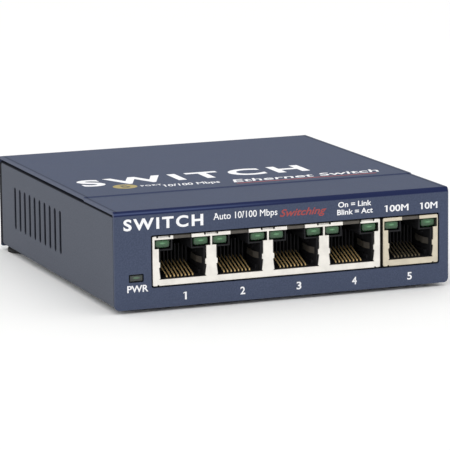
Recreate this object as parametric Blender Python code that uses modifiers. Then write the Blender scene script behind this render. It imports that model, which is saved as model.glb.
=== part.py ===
"""Five-port desktop network switch in a two-piece sheet-metal box.

The front panel, with the five jacks, faces -Y. +X is to the right seen from the front, +Z is up.
The origin lies on the resting plane under the middle of the object. Dimensions are in millimetres
and become metres as each mesh is made. "Depth" is the distance behind the front panel's outer face.
"""

import math

import bmesh
import bpy
from mathutils import Matrix, Vector

MM = 0.001
GAP = 0.3

# Case
CASE_W = 94.0
CASE_D = 100.0
CASE_TOP = 27.0
PANEL_BOTTOM = 1.0
BASE_BOTTOM = 1.4
SHEET = 0.8
BEND_R = 1.2
BEND_STEPS = 5
STEP_DROP = 0.25
STEP_DEPTH = 23.9
STEP_RUN = 0.6
PANEL_CORNER_R = 1.3
FLANGE = 5.0
SEAM = 0.35
BUTTON_OUT = 1.8

Y_FRONT = -(CASE_D + BUTTON_OUT) / 2
Y_REAR = Y_FRONT + CASE_D

# Side vents
VENT_COUNT = 10
VENT_PITCH = 4.52
VENT_FIRST_DEPTH = 44.6
VENT_W = 1.5
VENT_LOW = 8.1
VENT_HIGH = 20.1

# Feet
FOOT_R = 5.0
FOOT_H = 1.1
FOOT_CHAMFER = 0.35
FOOT_PLACES = {
    "foot_front_left": (-36.0, 15.0),
    "foot_front_right": (36.0, 15.0),
    "foot_rear_left": (-41.7, 94.0),
    "foot_rear_right": (41.7, 94.0),
}

# Underside label
LABEL_X = (-17.0, 17.0)
LABEL_DEPTH = (30.0, 52.0)
LABEL_T = 0.25

# Wall keyholes in the floor
KEYHOLE_X = 26.0
KEYHOLE_DEPTH = 58.0
KEYHOLE_HEAD_R = 3.6
KEYHOLE_NECK_R = 1.7
KEYHOLE_RUN = 6.0

# Circuit board
BOARD_W = 88.0
BOARD_FRONT = 1.7
BOARD_REAR = 91.0
BOARD_TOP = 6.3
BOARD_T = 1.6
STANDOFF_R = 3.0
STANDOFF_X = 40.0
STANDOFF_DEPTHS = (34.0, 72.0)
SCREW_R = 1.25
SCREW_HOLE_R = 1.6
SCREW_HEAD_R = 2.6
SCREW_HEAD_T = 1.5

# Jacks
PORT_PITCH = 15.8
BLOCK_PORTS = 4
BLOCK_X = (-36.6, 27.23)
BLOCK_FIRST_PORT = -28.36
SINGLE_X = (28.08, 44.0)
SINGLE_PORT = 36.05
SHIELD_LOW = 6.65
SHIELD_HIGH = 19.65
SHIELD_T = 0.4
SHIELD_DEPTH = 16.4
CUTOUT_GAP = 0.4
MOUTH_HALF = 6.55
MOUTH_LOW = 8.3
LIGHT_LEVEL = 16.35
LIGHT_LEVEL_HIGH = 18.75
LIGHT_LEVEL_HALF = 7.6
BUMP_Z = (11.4, 12.9)
BUMP_IN = 0.3
LATCH_HALF = 2.55
LATCH_HIGH = 19.05
CAVITY_HALF = 6.0
CAVITY_HIGH = 15.7
CAVITY_DEPTH = 12.9
CHANNEL_HIGH = 18.6
POCKET_DEPTH = 5.4

# Port lights
LIGHT_X = (3.25, 7.35)
LIGHT_Z = (16.4, 18.65)
LIGHT_DEPTH = (0.7, 5.0)

# Contact wires
WIRE_COUNT = 8
WIRE_PITCH = 1.02
WIRE_W = 0.45
WIRE_T = 0.35
WIRE_LOW = 8.65
WIRE_TURN = (2.6, 8.65)
WIRE_TIP = (10.6, 12.2)
CARRIER_DEPTH = (11.2, 12.5)
CARRIER_HALF = 4.6
CARRIER_HIGH = 10.2

# Power light
WINDOW_X = (-43.15, -39.05)
WINDOW_Z = (8.1, 10.25)
PIPE_REAR = 4.0
PIPE_FLANGE = 0.8
LED_REAR = 8.5

# DC power jack
POWER_X = 22.0
POWER_W = 9.0
POWER_H = 11.0
POWER_DEPTH = 14.0
POWER_AXIS_Z = 13.2
POWER_BORE_R = 3.1
POWER_BORE_DEPTH = 9.5
PIN_R = 1.0
LEAF_W = 1.8
LEAF_SLOT = 2.5

# Push switch of port 5
SWITCH_X = 36.0
SWITCH_W = 8.0
SWITCH_H = 8.0
SWITCH_DEPTH = (77.0, 90.0)
SWITCH_WALL = 1.0
SWITCH_AXIS_Z = 10.9
BUTTON_R = 2.6
BUTTON_CHAMFER = 0.4
BUTTON_CLEAR = 2.6
STEM_HALF = 1.3
STEM_BORE_HALF = 1.9
STEM_START = 82.5
BUTTON_HOLE_R = 3.1
SPRING_R = 0.95
SPRING_WIRE_R = 0.15
SPRING_TURNS = 4

# Rear screws and the base's tabs
TAB_X = 42.2
TAB_W = 6.0
TAB_HIGH = 23.5
COVER_SCREW_Z = 20.0
COVER_SCREW_R = 1.4
COVER_HOLE_R = 1.8
COVER_HEAD_R = 2.9
COVER_HEAD_T = 1.3
COVER_SCREW_REACH = 4.0

# Facets
SIDES_ROUND = 24
SIDES_SMALL = 12
SHARP_ANGLE = 35

STEEL_BLUE = ((0.055, 0.072, 0.135), 0.42, 0.0)
SHIELD_METAL = ((0.88, 0.86, 0.80), 0.30, 1.0)
BLACK_PLASTIC = ((0.012, 0.012, 0.013), 0.45, 0.0)
RUBBER = ((0.018, 0.018, 0.018), 0.85, 0.0)
GOLD = ((0.83, 0.62, 0.25), 0.28, 1.0)
GREEN_LENS = ((0.03, 0.22, 0.07), 0.25, 0.0)
BOARD_GREEN = ((0.02, 0.13, 0.06), 0.5, 0.0)
ALUMINIUM = ((0.55, 0.56, 0.57), 0.35, 1.0)
ZINC = ((0.62, 0.62, 0.60), 0.35, 1.0)
COPPER = ((0.65, 0.30, 0.16), 0.4, 1.0)
LABEL = ((0.72, 0.72, 0.70), 0.5, 0.0)

parts = None
cutters = None
root = None


# ---------------------------------------------------------------- scene and materials

def clear_scene():
    for old in list(bpy.data.objects):
        bpy.data.objects.remove(old, do_unlink=True)


def new_collection(name):
    group = bpy.data.collections.new(name)
    bpy.context.scene.collection.children.link(group)
    return group


def material(name, finish):
    colour, roughness, metallic = finish
    made = bpy.data.materials.new(name)
    made.use_nodes = True
    shader = made.node_tree.nodes["Principled BSDF"]
    shader.inputs["Base Color"].default_value = (*colour, 1.0)
    shader.inputs["Roughness"].default_value = roughness
    shader.inputs["Metallic"].default_value = metallic
    return made


# ---------------------------------------------------------------- mesh helpers

def at(x, depth, z):
    """A point in millimetres, with its depth behind the front panel, as metres in the world."""
    return Vector((x, Y_FRONT + depth, z)) * MM


def add_box(shape, x, depth, z):
    """Add a box between pairs of limits in millimetres."""
    low = at(x[0], depth[0], z[0])
    high = at(x[1], depth[1], z[1])
    size = high - low
    place = Matrix.Translation((low + high) / 2) @ Matrix.Diagonal((*size, 1.0))
    bmesh.ops.create_cube(shape, size=1.0, matrix=place)


def add_rod(shape, start, end, radius, sides):
    """Add a cylinder between two points in metres, its radius in millimetres."""
    along = end - start
    turn = along.to_track_quat("Z", "Y").to_matrix().to_4x4()
    place = Matrix.Translation((start + end) / 2) @ turn
    bmesh.ops.create_cone(shape, cap_ends=True, segments=sides, radius1=radius * MM,
                          radius2=radius * MM, depth=along.length, matrix=place)


def outline_mesh(points, thickness):
    """A flat outline in the XY plane, filled and given its thickness either side of it."""
    curve = bpy.data.curves.new("outline", "CURVE")
    curve.dimensions = "2D"
    curve.fill_mode = "BOTH"
    curve.extrude = thickness * MM / 2
    line = curve.splines.new("POLY")
    line.points.add(len(points) - 1)
    for knot, (across, up) in zip(line.points, points):
        knot.co = (across * MM, up * MM, 0.0, 1.0)
    line.use_cyclic_u = True
    holder = bpy.data.objects.new("outline", curve)
    cutters.objects.link(holder)
    seen = holder.evaluated_get(bpy.context.evaluated_depsgraph_get())
    mesh = bpy.data.meshes.new_from_object(seen)
    bpy.data.objects.remove(holder, do_unlink=True)
    weld = bmesh.new()
    weld.from_mesh(mesh)
    bmesh.ops.remove_doubles(weld, verts=weld.verts, dist=0.00001)
    bmesh.ops.recalc_face_normals(weld, faces=weld.faces)
    weld.to_mesh(mesh)
    weld.free()
    return mesh


def add_outline(shape, points, thickness, place):
    mesh = outline_mesh(points, thickness)
    mesh.transform(place)
    shape.from_mesh(mesh)
    bpy.data.meshes.remove(mesh)


def slot_outline(length, half_width, steps=5):
    """A slot with round ends along the second axis, centred on the origin."""
    points = []
    for end in (1, -1):
        middle = end * (length / 2 - half_width)
        for step in range(steps + 1):
            turn = math.pi * step / steps + (0.0 if end == 1 else math.pi)
            points.append((half_width * math.cos(turn), middle + half_width * math.sin(turn)))
    return points


def round_corners(corners, radius, steps):
    """An open path whose inner corners become arcs; a corner may carry its own radius."""
    path = [corners[0][:2]]
    for before, corner, after in zip(corners, corners[1:], corners[2:]):
        size = corner[2] if len(corner) == 3 else radius
        here = Vector(corner[:2])
        back = (Vector(before[:2]) - here).normalized()
        ahead = (Vector(after[:2]) - here).normalized()
        if size == 0.0:
            path.append(tuple(here))
            continue
        half = back.angle(ahead) / 2
        reach = size / math.tan(half)
        centre = here + (back + ahead).normalized() * (size / math.sin(half))
        first = here + back * reach - centre
        last = here + ahead * reach - centre
        sweep = first.angle_signed(last)
        for step in range(steps + 1):
            turned = first.copy()
            turned.rotate(Matrix.Rotation(-sweep * step / steps, 2))
            path.append(tuple(centre + turned))
    path.append(corners[-1][:2])
    return path


def new_object(name, shape, finish, smooth=True, origin=None):
    """Turn a bmesh made in world coordinates into a named object with its material.

    Its origin goes to the given point, or else to the middle of its box.
    """
    if origin is None:
        corners = [[vert.co[axis] for vert in shape.verts] for axis in range(3)]
        origin = Vector([round((min(side) + max(side)) / 2, 5) for side in corners])
    bmesh.ops.translate(shape, verts=shape.verts, vec=-origin)
    mesh = bpy.data.meshes.new(name)
    shape.to_mesh(mesh)
    shape.free()
    mesh.materials.append(material(name, finish))
    if smooth:
        mesh.shade_smooth()
        mesh.set_sharp_from_angle(angle=math.radians(SHARP_ANGLE))
    made = bpy.data.objects.new(name, mesh)
    made.location = origin
    made.parent = root
    parts.objects.link(made)
    return made


def new_cutter(name, shape):
    mesh = bpy.data.meshes.new(name)
    shape.to_mesh(mesh)
    shape.free()
    made = bpy.data.objects.new(name, mesh)
    made.hide_render = True
    made.display_type = "WIRE"
    cutters.objects.link(made)
    return made


def combine(target, name, shape, operation):
    """Cut a shape from an object, or join it on, with an exact Boolean."""
    change = target.modifiers.new(name, "BOOLEAN")
    change.operation = operation
    change.solver = "EXACT"
    change.object = new_cutter(target.name + "_" + name, shape)


def box_object(name, finish, x, depth, z):
    shape = bmesh.new()
    add_box(shape, x, depth, z)
    return new_object(name, shape, finish, smooth=False)


def turned_object(name, finish, profile, point, sides, axis="UP"):
    """Turn a profile of (radius, height), listed from its top down, about an upright or rear axis."""
    shape = bmesh.new()
    knots = [shape.verts.new((radius * MM, 0.0, height * MM)) for radius, height in profile]
    for pair in zip(knots, knots[1:]):
        shape.edges.new(pair)
    made = new_object(name, shape, finish, origin=Vector((0.0, 0.0, 0.0)))
    spin = made.modifiers.new("turn", "SCREW")
    spin.steps = sides
    spin.render_steps = sides
    spin.use_merge_vertices = True
    spin.merge_threshold = 0.00001
    made.location = point
    if axis == "REAR":
        made.rotation_euler = (-math.pi / 2, 0.0, 0.0)
    return made


# ---------------------------------------------------------------- case

def bent_sheet(name, path, low, high, along, finish):
    """A sheet whose outer face follows a path, carried between two limits along X or Y."""
    shape = bmesh.new()
    knots = []
    for across, up in path:
        if along == "X":
            knots.append(shape.verts.new(at(low, across, up)))
        else:
            knots.append(shape.verts.new(at(across, low, up)))
    edges = [shape.edges.new(pair) for pair in zip(knots, knots[1:])]
    swept = bmesh.ops.extrude_edge_only(shape, edges=edges)["geom"]
    shift = Vector((high - low, 0, 0)) if along == "X" else Vector((0, high - low, 0))
    moved = [item for item in swept if isinstance(item, bmesh.types.BMVert)]
    bmesh.ops.translate(shape, verts=moved, vec=shift * MM)
    made = new_object(name, shape, finish)
    wall = made.modifiers.new("sheet", "SOLIDIFY")
    wall.thickness = SHEET * MM
    wall.offset = -1.0
    wall.use_even_offset = True
    return made


def make_cover():
    front_top = CASE_TOP - STEP_DROP
    corners = [
        (0.0, PANEL_BOTTOM),
        (0.0, front_top),
        (STEP_DEPTH - STEP_RUN / 2, front_top, 0.0),
        (STEP_DEPTH + STEP_RUN / 2, CASE_TOP, 0.0),
        (CASE_D, CASE_TOP),
        (CASE_D, PANEL_BOTTOM),
    ]
    half = CASE_W / 2
    path = round_corners(corners, BEND_R, BEND_STEPS)
    cover = bent_sheet("cover", path, -half, half, "X", STEEL_BLUE)
    combine(cover, "openings", cover_openings(), "DIFFERENCE")
    combine(cover, "corners", panel_corners(), "DIFFERENCE")


def cover_openings():
    shape = bmesh.new()
    front = (-SHEET, 2 * SHEET)
    rear = (CASE_D - 2 * SHEET, CASE_D + SHEET)
    add_box(shape, (BLOCK_X[0] - CUTOUT_GAP, SINGLE_X[1] + CUTOUT_GAP), front,
            (SHIELD_LOW - CUTOUT_GAP, SHIELD_HIGH + CUTOUT_GAP))
    add_box(shape, WINDOW_X, front, WINDOW_Z)
    power_half = POWER_W / 2 + CUTOUT_GAP
    power_low = BOARD_TOP + GAP - CUTOUT_GAP
    add_box(shape, (POWER_X - power_half, POWER_X + power_half), rear,
            (power_low, power_low + POWER_H + 2 * CUTOUT_GAP))
    add_rod(shape, at(SWITCH_X, rear[0], SWITCH_AXIS_Z), at(SWITCH_X, rear[1], SWITCH_AXIS_Z),
            BUTTON_HOLE_R, SIDES_ROUND)
    for side in (-1, 1):
        add_rod(shape, at(side * TAB_X, rear[0], COVER_SCREW_Z),
                at(side * TAB_X, rear[1], COVER_SCREW_Z), COVER_HOLE_R, SIDES_SMALL)
    return shape


def panel_corners():
    """What rounds the two lower corners of the front and rear panels."""
    shape = bmesh.new()
    reach = PANEL_CORNER_R
    half = CASE_W / 2
    for side in (-1, 1):
        arc = []
        for step in range(BEND_STEPS + 1):
            turn = math.pi / 2 * step / BEND_STEPS
            arc.append((side * (half - reach + reach * math.sin(turn)),
                        PANEL_BOTTOM + reach - reach * math.cos(turn)))
        outside = [(side * (half + 1), PANEL_BOTTOM + reach), (side * (half + 1), PANEL_BOTTOM - 1),
                   (side * (half - reach), PANEL_BOTTOM - 1)]
        for depth in (SHEET / 2, CASE_D - SHEET / 2):
            place = Matrix.Translation(at(0, depth, 0)) @ Matrix.Rotation(math.pi / 2, 4, "X")
            add_outline(shape, arc + outside, 3 * SHEET, place)
    return shape


def make_base():
    wall_top = CASE_TOP - SHEET - SEAM
    half = CASE_W / 2
    corners = [
        (half - FLANGE, wall_top),
        (half, wall_top),
        (half, BASE_BOTTOM),
        (-half, BASE_BOTTOM),
        (-half, wall_top),
        (FLANGE - half, wall_top),
    ]
    path = round_corners(corners, BEND_R, BEND_STEPS)
    front = SHEET + GAP
    rear = CASE_D - SHEET - GAP
    base = bent_sheet("base", path, rear, front, "Y", STEEL_BLUE)
    combine(base, "raised", base_raised(rear), "UNION")
    combine(base, "step", base_step(wall_top), "DIFFERENCE")
    combine(base, "flange_end", base_flange_end(wall_top), "DIFFERENCE")
    combine(base, "openings", base_openings(rear), "DIFFERENCE")


def base_raised(rear):
    """The standoffs pressed up from the floor, and the tabs that take the rear screws."""
    shape = bmesh.new()
    floor_middle = BASE_BOTTOM + SHEET / 2
    for x in (-STANDOFF_X, STANDOFF_X):
        for depth in STANDOFF_DEPTHS:
            add_rod(shape, at(x, depth, floor_middle),
                    at(x, depth, BOARD_TOP - BOARD_T - GAP), STANDOFF_R, SIDES_SMALL)
    for side in (-1, 1):
        middle = side * TAB_X
        add_box(shape, (middle - TAB_W / 2, middle + TAB_W / 2), (rear - SHEET, rear - 0.01),
                (floor_middle, TAB_HIGH))
    return shape


def base_step(wall_top):
    """The side walls are a little lower under the front part of the top."""
    shape = bmesh.new()
    for side in (-1, 1):
        ends = sorted((side * (CASE_W / 2 - BEND_R), side * (CASE_W / 2 + 1)))
        add_box(shape, ends, (0.0, STEP_DEPTH + GAP), (wall_top - STEP_DROP, CASE_TOP))
    return shape


def base_flange_end(wall_top):
    """The side walls have no flange under the front part of the top."""
    shape = bmesh.new()
    inner = CASE_W / 2 - BEND_R
    add_box(shape, (-inner, inner), (0.0, STEP_DEPTH + GAP), (wall_top - 2 * SHEET, CASE_TOP))
    return shape


def base_openings(rear):
    shape = bmesh.new()
    vent = slot_outline(VENT_HIGH - VENT_LOW, VENT_W / 2, steps=4)
    upright = Matrix.Rotation(math.pi / 2, 4, "Z") @ Matrix.Rotation(math.pi / 2, 4, "X")
    for side in (-1, 1):
        for index in range(VENT_COUNT):
            depth = VENT_FIRST_DEPTH + VENT_PITCH * index
            middle = at(side * (CASE_W - SHEET) / 2, depth, (VENT_LOW + VENT_HIGH) / 2)
            add_outline(shape, vent, 3 * SHEET, Matrix.Translation(middle) @ upright)
    for x in (-KEYHOLE_X, KEYHOLE_X):
        middle = at(x, KEYHOLE_DEPTH, BASE_BOTTOM + SHEET / 2)
        add_outline(shape, keyhole_outline(), 3 * SHEET, Matrix.Translation(middle))
    for x in (-STANDOFF_X, STANDOFF_X):
        for depth in STANDOFF_DEPTHS:
            add_rod(shape, at(x, depth, 0.0), at(x, depth, BOARD_TOP), SCREW_HOLE_R, SIDES_SMALL)
    for side in (-1, 1):
        add_rod(shape, at(side * TAB_X, rear - 2 * SHEET, COVER_SCREW_Z),
                at(side * TAB_X, rear + SHEET, COVER_SCREW_Z), COVER_HOLE_R, SIDES_SMALL)
    return shape


def keyhole_outline(steps=10):
    """A round hole for a screw's head, with a narrow slot running to the rear."""
    opening = math.asin(KEYHOLE_NECK_R / KEYHOLE_HEAD_R)
    start = math.pi / 2 + opening
    sweep = 2 * (math.pi - opening)
    points = []
    for step in range(2 * steps + 1):
        turn = start + sweep * step / (2 * steps)
        points.append((KEYHOLE_HEAD_R * math.cos(turn), KEYHOLE_HEAD_R * math.sin(turn)))
    for step in range(steps + 1):
        turn = math.pi * step / steps
        points.append((KEYHOLE_NECK_R * math.cos(turn), KEYHOLE_RUN + KEYHOLE_NECK_R * math.sin(turn)))
    return points


def make_feet():
    profile = [(0.0, FOOT_H), (FOOT_R, FOOT_H), (FOOT_R, FOOT_CHAMFER),
               (FOOT_R - FOOT_CHAMFER, 0.0), (0.0, 0.0)]
    for name, (x, depth) in FOOT_PLACES.items():
        turned_object(name, RUBBER, profile, at(x, depth, 0.0), SIDES_ROUND)


def make_label():
    high = BASE_BOTTOM - GAP
    box_object("rating_label", LABEL, LABEL_X, LABEL_DEPTH, (high - LABEL_T, high))


# ---------------------------------------------------------------- circuit board

def make_board():
    shape = bmesh.new()
    add_box(shape, (-BOARD_W / 2, BOARD_W / 2), (BOARD_FRONT, BOARD_REAR),
            (BOARD_TOP - BOARD_T, BOARD_TOP))
    board = new_object("circuit_board", shape, BOARD_GREEN, smooth=False)
    holes = bmesh.new()
    for x in (-STANDOFF_X, STANDOFF_X):
        for depth in STANDOFF_DEPTHS:
            add_rod(holes, at(x, depth, 0.0), at(x, depth, 2 * BOARD_TOP), SCREW_HOLE_R, SIDES_SMALL)
    combine(board, "holes", holes, "DIFFERENCE")


def screw_profile(length, shank_r, head_r, head_t):
    """A pan-head screw standing head up, measured from the underside of its head."""
    crown = head_t / 4
    return [(0.0, head_t), (head_r - 2 * crown, head_t), (head_r, head_t - crown), (head_r, 0.0),
            (shank_r, 0.0), (shank_r, -length), (0.0, -length)]


def make_screws():
    seat = BOARD_TOP + GAP
    profile = screw_profile(seat - BASE_BOTTOM - GAP, SCREW_R, SCREW_HEAD_R, SCREW_HEAD_T)
    for side, x in (("left", -STANDOFF_X), ("right", STANDOFF_X)):
        for row, depth in zip(("front", "rear"), STANDOFF_DEPTHS):
            turned_object("board_screw_%s_%s" % (row, side), ZINC, profile, at(x, depth, seat),
                          SIDES_SMALL)
    profile = screw_profile(COVER_SCREW_REACH, COVER_SCREW_R, COVER_HEAD_R, COVER_HEAD_T)
    for side, x in (("left", -TAB_X), ("right", TAB_X)):
        turned_object("cover_screw_%s" % side, ZINC, profile, at(x, CASE_D + GAP, COVER_SCREW_Z),
                      SIDES_SMALL, axis="REAR")


# ---------------------------------------------------------------- jacks

def make_shield(name, x, ports):
    """Folded metal shell round a jack: front, top and both sides, with the plug openings."""
    outer = bmesh.new()
    add_box(outer, x, (0.0, SHIELD_DEPTH), (SHIELD_LOW, SHIELD_HIGH))
    shield = new_object(name, outer, SHIELD_METAL, smooth=False)
    hollow = bmesh.new()
    add_box(hollow, (x[0] + SHIELD_T, x[1] - SHIELD_T), (SHIELD_T, SHIELD_DEPTH + 1),
            (SHIELD_LOW - 1, SHIELD_HIGH - SHIELD_T))
    combine(shield, "hollow", hollow, "DIFFERENCE")
    for index, middle in enumerate(ports):
        mouth = bmesh.new()
        add_outline(mouth, mouth_outline(), 3 * SHIELD_T,
                    Matrix.Translation(at(middle, 0.0, 0.0)) @ Matrix.Rotation(math.pi / 2, 4, "X"))
        combine(shield, "mouth_%d" % (index + 1), mouth, "DIFFERENCE")


def mouth_outline():
    """Right half of a plug opening seen from the front, mirrored to the left."""
    half = [
        (MOUTH_HALF, MOUTH_LOW),
        (MOUTH_HALF, BUMP_Z[0]),
        (MOUTH_HALF - BUMP_IN, BUMP_Z[0]),
        (MOUTH_HALF - BUMP_IN, BUMP_Z[1]),
        (MOUTH_HALF, BUMP_Z[1]),
        (MOUTH_HALF, LIGHT_LEVEL),
        (LIGHT_LEVEL_HALF, LIGHT_LEVEL),
        (LIGHT_LEVEL_HALF, LIGHT_LEVEL_HIGH),
        (LATCH_HALF, LIGHT_LEVEL_HIGH),
        (LATCH_HALF, LATCH_HIGH),
    ]
    return half + [(-across, up) for across, up in reversed(half)]


def make_housing(name, x, ports):
    """Black plastic body: plug cavities, latch channels and pockets for the lights."""
    wall = SHIELD_T + GAP
    top = SHIELD_HIGH - wall
    shape = bmesh.new()
    add_box(shape, (x[0] + wall, x[1] - wall), (wall, SHIELD_DEPTH - 0.4), (BOARD_TOP + GAP, top))
    housing = new_object(name, shape, BLACK_PLASTIC, smooth=False)
    for index, middle in enumerate(ports):
        combine(housing, "cavity_%d" % (index + 1), plug_cavity(middle), "DIFFERENCE")
        combine(housing, "pockets_%d" % (index + 1), light_pockets(middle, top), "DIFFERENCE")


def plug_cavity(middle):
    shape = bmesh.new()
    outline = [
        (CAVITY_HALF, MOUTH_LOW),
        (CAVITY_HALF, CAVITY_HIGH),
        (LATCH_HALF, CAVITY_HIGH),
        (LATCH_HALF, CHANNEL_HIGH),
    ]
    outline += [(-across, up) for across, up in reversed(outline)]
    depth = CAVITY_DEPTH
    place = Matrix.Translation(at(middle, depth / 2, 0.0)) @ Matrix.Rotation(math.pi / 2, 4, "X")
    add_outline(shape, outline, depth, place)
    return shape


def light_pockets(middle, top):
    shape = bmesh.new()
    for side in (-1, 1):
        ends = sorted((middle + side * (LIGHT_X[0] - GAP), middle + side * (LIGHT_X[1] + GAP)))
        add_box(shape, ends, (0.0, POCKET_DEPTH), (LIGHT_Z[0] - GAP, top + 1))
    return shape


def make_contacts(name, middle):
    """Eight spring wires that rise to the rear from a hairpin turn, fused to their carrier."""
    shape = bmesh.new()
    add_box(shape, (middle - CARRIER_HALF, middle + CARRIER_HALF), CARRIER_DEPTH,
            (WIRE_LOW - 0.05, CARRIER_HIGH))
    contacts = new_object(name, shape, GOLD, smooth=False)
    outline = wire_outline()
    wires = bmesh.new()
    turned = Matrix.Rotation(math.pi / 2, 4, "Z") @ Matrix.Rotation(math.pi / 2, 4, "X")
    for index in range(WIRE_COUNT):
        x = middle + WIRE_PITCH * (index - (WIRE_COUNT - 1) / 2)
        add_outline(wires, outline, WIRE_W, Matrix.Translation(at(x, 0.0, 0.0)) @ turned)
    combine(contacts, "wires", wires, "UNION")


def wire_outline():
    """Side view of one wire, as (depth, height): along the floor, round the turn and up."""
    run = Vector(WIRE_TIP) - Vector(WIRE_TURN)
    normal = Vector((-run.y, run.x)).normalized() * WIRE_T
    start = CARRIER_DEPTH[0] + 0.4
    turn_top = (WIRE_TURN[0] + 1.6, WIRE_LOW + WIRE_T)
    return [
        (start, WIRE_LOW),
        (start, WIRE_LOW + WIRE_T),
        turn_top,
        (WIRE_TIP[0] - normal.x * 0.2, WIRE_TIP[1] - WIRE_T * 0.6),
        (WIRE_TIP[0] + normal.x, WIRE_TIP[1] + normal.y),
        (WIRE_TURN[0] + normal.x, WIRE_TURN[1] + WIRE_T + normal.y),
        (WIRE_TURN[0] - 0.25, WIRE_LOW + WIRE_T),
        (WIRE_TURN[0], WIRE_LOW),
    ]


def make_lights(number, middle):
    for side, word in ((-1, "left"), (1, "right")):
        ends = sorted((middle + side * LIGHT_X[0], middle + side * LIGHT_X[1]))
        box_object("port_%d_light_%s" % (number, word), GREEN_LENS, ends, LIGHT_DEPTH, LIGHT_Z)


def make_jacks():
    block = [BLOCK_FIRST_PORT + PORT_PITCH * index for index in range(BLOCK_PORTS)]
    make_shield("jack_block_shield", BLOCK_X, block)
    make_housing("jack_block_housing", BLOCK_X, block)
    make_shield("jack_5_shield", SINGLE_X, [SINGLE_PORT])
    make_housing("jack_5_housing", SINGLE_X, [SINGLE_PORT])
    for number, middle in enumerate(block + [SINGLE_PORT], start=1):
        make_contacts("port_%d_contacts" % number, middle)
        make_lights(number, middle)


# ---------------------------------------------------------------- power light

def make_power_light():
    shape = bmesh.new()
    x = (WINDOW_X[0] + GAP, WINDOW_X[1] - GAP)
    z = (WINDOW_Z[0] + GAP, WINDOW_Z[1] - GAP)
    add_box(shape, x, (0.05, PIPE_REAR), z)
    pipe = new_object("power_light_pipe", shape, GREEN_LENS, smooth=False)
    flange = bmesh.new()
    behind = SHEET + GAP
    add_box(flange, (x[0] - 0.9, x[1] + 0.9), (behind, behind + PIPE_FLANGE), (z[0] - 0.7, z[1] + 0.7))
    combine(pipe, "flange", flange, "UNION")
    box_object("power_light", GREEN_LENS, (x[0] + 0.4, x[1] - 0.4), (PIPE_REAR + GAP, LED_REAR),
               (BOARD_TOP + GAP, z[1]))


# ---------------------------------------------------------------- DC power jack

def make_power_jack():
    rear = CASE_D
    front = rear - POWER_DEPTH
    low = BOARD_TOP + GAP
    shape = bmesh.new()
    add_box(shape, (POWER_X - POWER_W / 2, POWER_X + POWER_W / 2), (front, rear), (low, low + POWER_H))
    body = new_object("power_jack_body", shape, BLACK_PLASTIC, smooth=False)
    bore_end = rear - POWER_BORE_DEPTH
    bore = bmesh.new()
    add_rod(bore, at(POWER_X, bore_end, POWER_AXIS_Z), at(POWER_X, rear + 1, POWER_AXIS_Z),
            POWER_BORE_R, SIDES_ROUND)
    combine(body, "bore", bore, "DIFFERENCE")
    passage = bmesh.new()
    add_rod(passage, at(POWER_X, front - 1, POWER_AXIS_Z), at(POWER_X, bore_end + 1, POWER_AXIS_Z),
            PIN_R + GAP, SIDES_SMALL)
    combine(body, "passage", passage, "DIFFERENCE")
    slot = bmesh.new()
    slot_low = POWER_AXIS_Z - POWER_BORE_R - LEAF_SLOT
    half = LEAF_W / 2 + GAP
    add_box(slot, (POWER_X - half, POWER_X + half), (front - 1, rear - 2.0), (slot_low, POWER_AXIS_Z))
    combine(body, "leaf_slot", slot, "DIFFERENCE")
    length = POWER_DEPTH - 1.0
    profile = [(0.0, length), (PIN_R - 0.25, length), (PIN_R, length - 0.25), (PIN_R, -GAP),
               (PIN_R + 1.0, -GAP), (PIN_R + 1.0, -1.4), (0.0, -1.4)]
    turned_object("power_jack_pin", GOLD, profile, at(POWER_X, front, POWER_AXIS_Z), SIDES_SMALL,
                  axis="REAR")
    leaf = bmesh.new()
    add_outline(leaf, leaf_outline(front, rear, slot_low), LEAF_W,
                Matrix.Translation(at(POWER_X, 0.0, 0.0))
                @ Matrix.Rotation(math.pi / 2, 4, "Z") @ Matrix.Rotation(math.pi / 2, 4, "X"))
    new_object("power_jack_spring", leaf, GOLD, smooth=False)


def leaf_outline(front, rear, slot_low):
    """Side view of the sprung contact: flat on the slot's floor, then humped up into the bore."""
    low = slot_low + GAP
    high = POWER_AXIS_Z - POWER_BORE_R + 0.5
    thick = 0.35
    bottom = [(front + 0.5, low), (front + 5.5, low), (rear - 4.6, high), (rear - 2.6, high - 0.9)]
    return bottom + [(depth, z + thick) for depth, z in reversed(bottom)]


# ---------------------------------------------------------------- push switch

def make_push_switch():
    low = BOARD_TOP + GAP
    front, rear = SWITCH_DEPTH
    shape = bmesh.new()
    add_box(shape, (SWITCH_X - SWITCH_W / 2, SWITCH_X + SWITCH_W / 2), (front, rear),
            (low, low + SWITCH_H))
    body = new_object("uplink_switch_body", shape, BLACK_PLASTIC, smooth=False)
    bore = bmesh.new()
    add_box(bore, (SWITCH_X - STEM_BORE_HALF, SWITCH_X + STEM_BORE_HALF),
            (front + SWITCH_WALL, rear + 1.0),
            (SWITCH_AXIS_Z - STEM_BORE_HALF, SWITCH_AXIS_Z + STEM_BORE_HALF))
    combine(body, "bore", bore, "DIFFERENCE")
    make_button(rear)
    make_spring(front + SWITCH_WALL + GAP)


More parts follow.
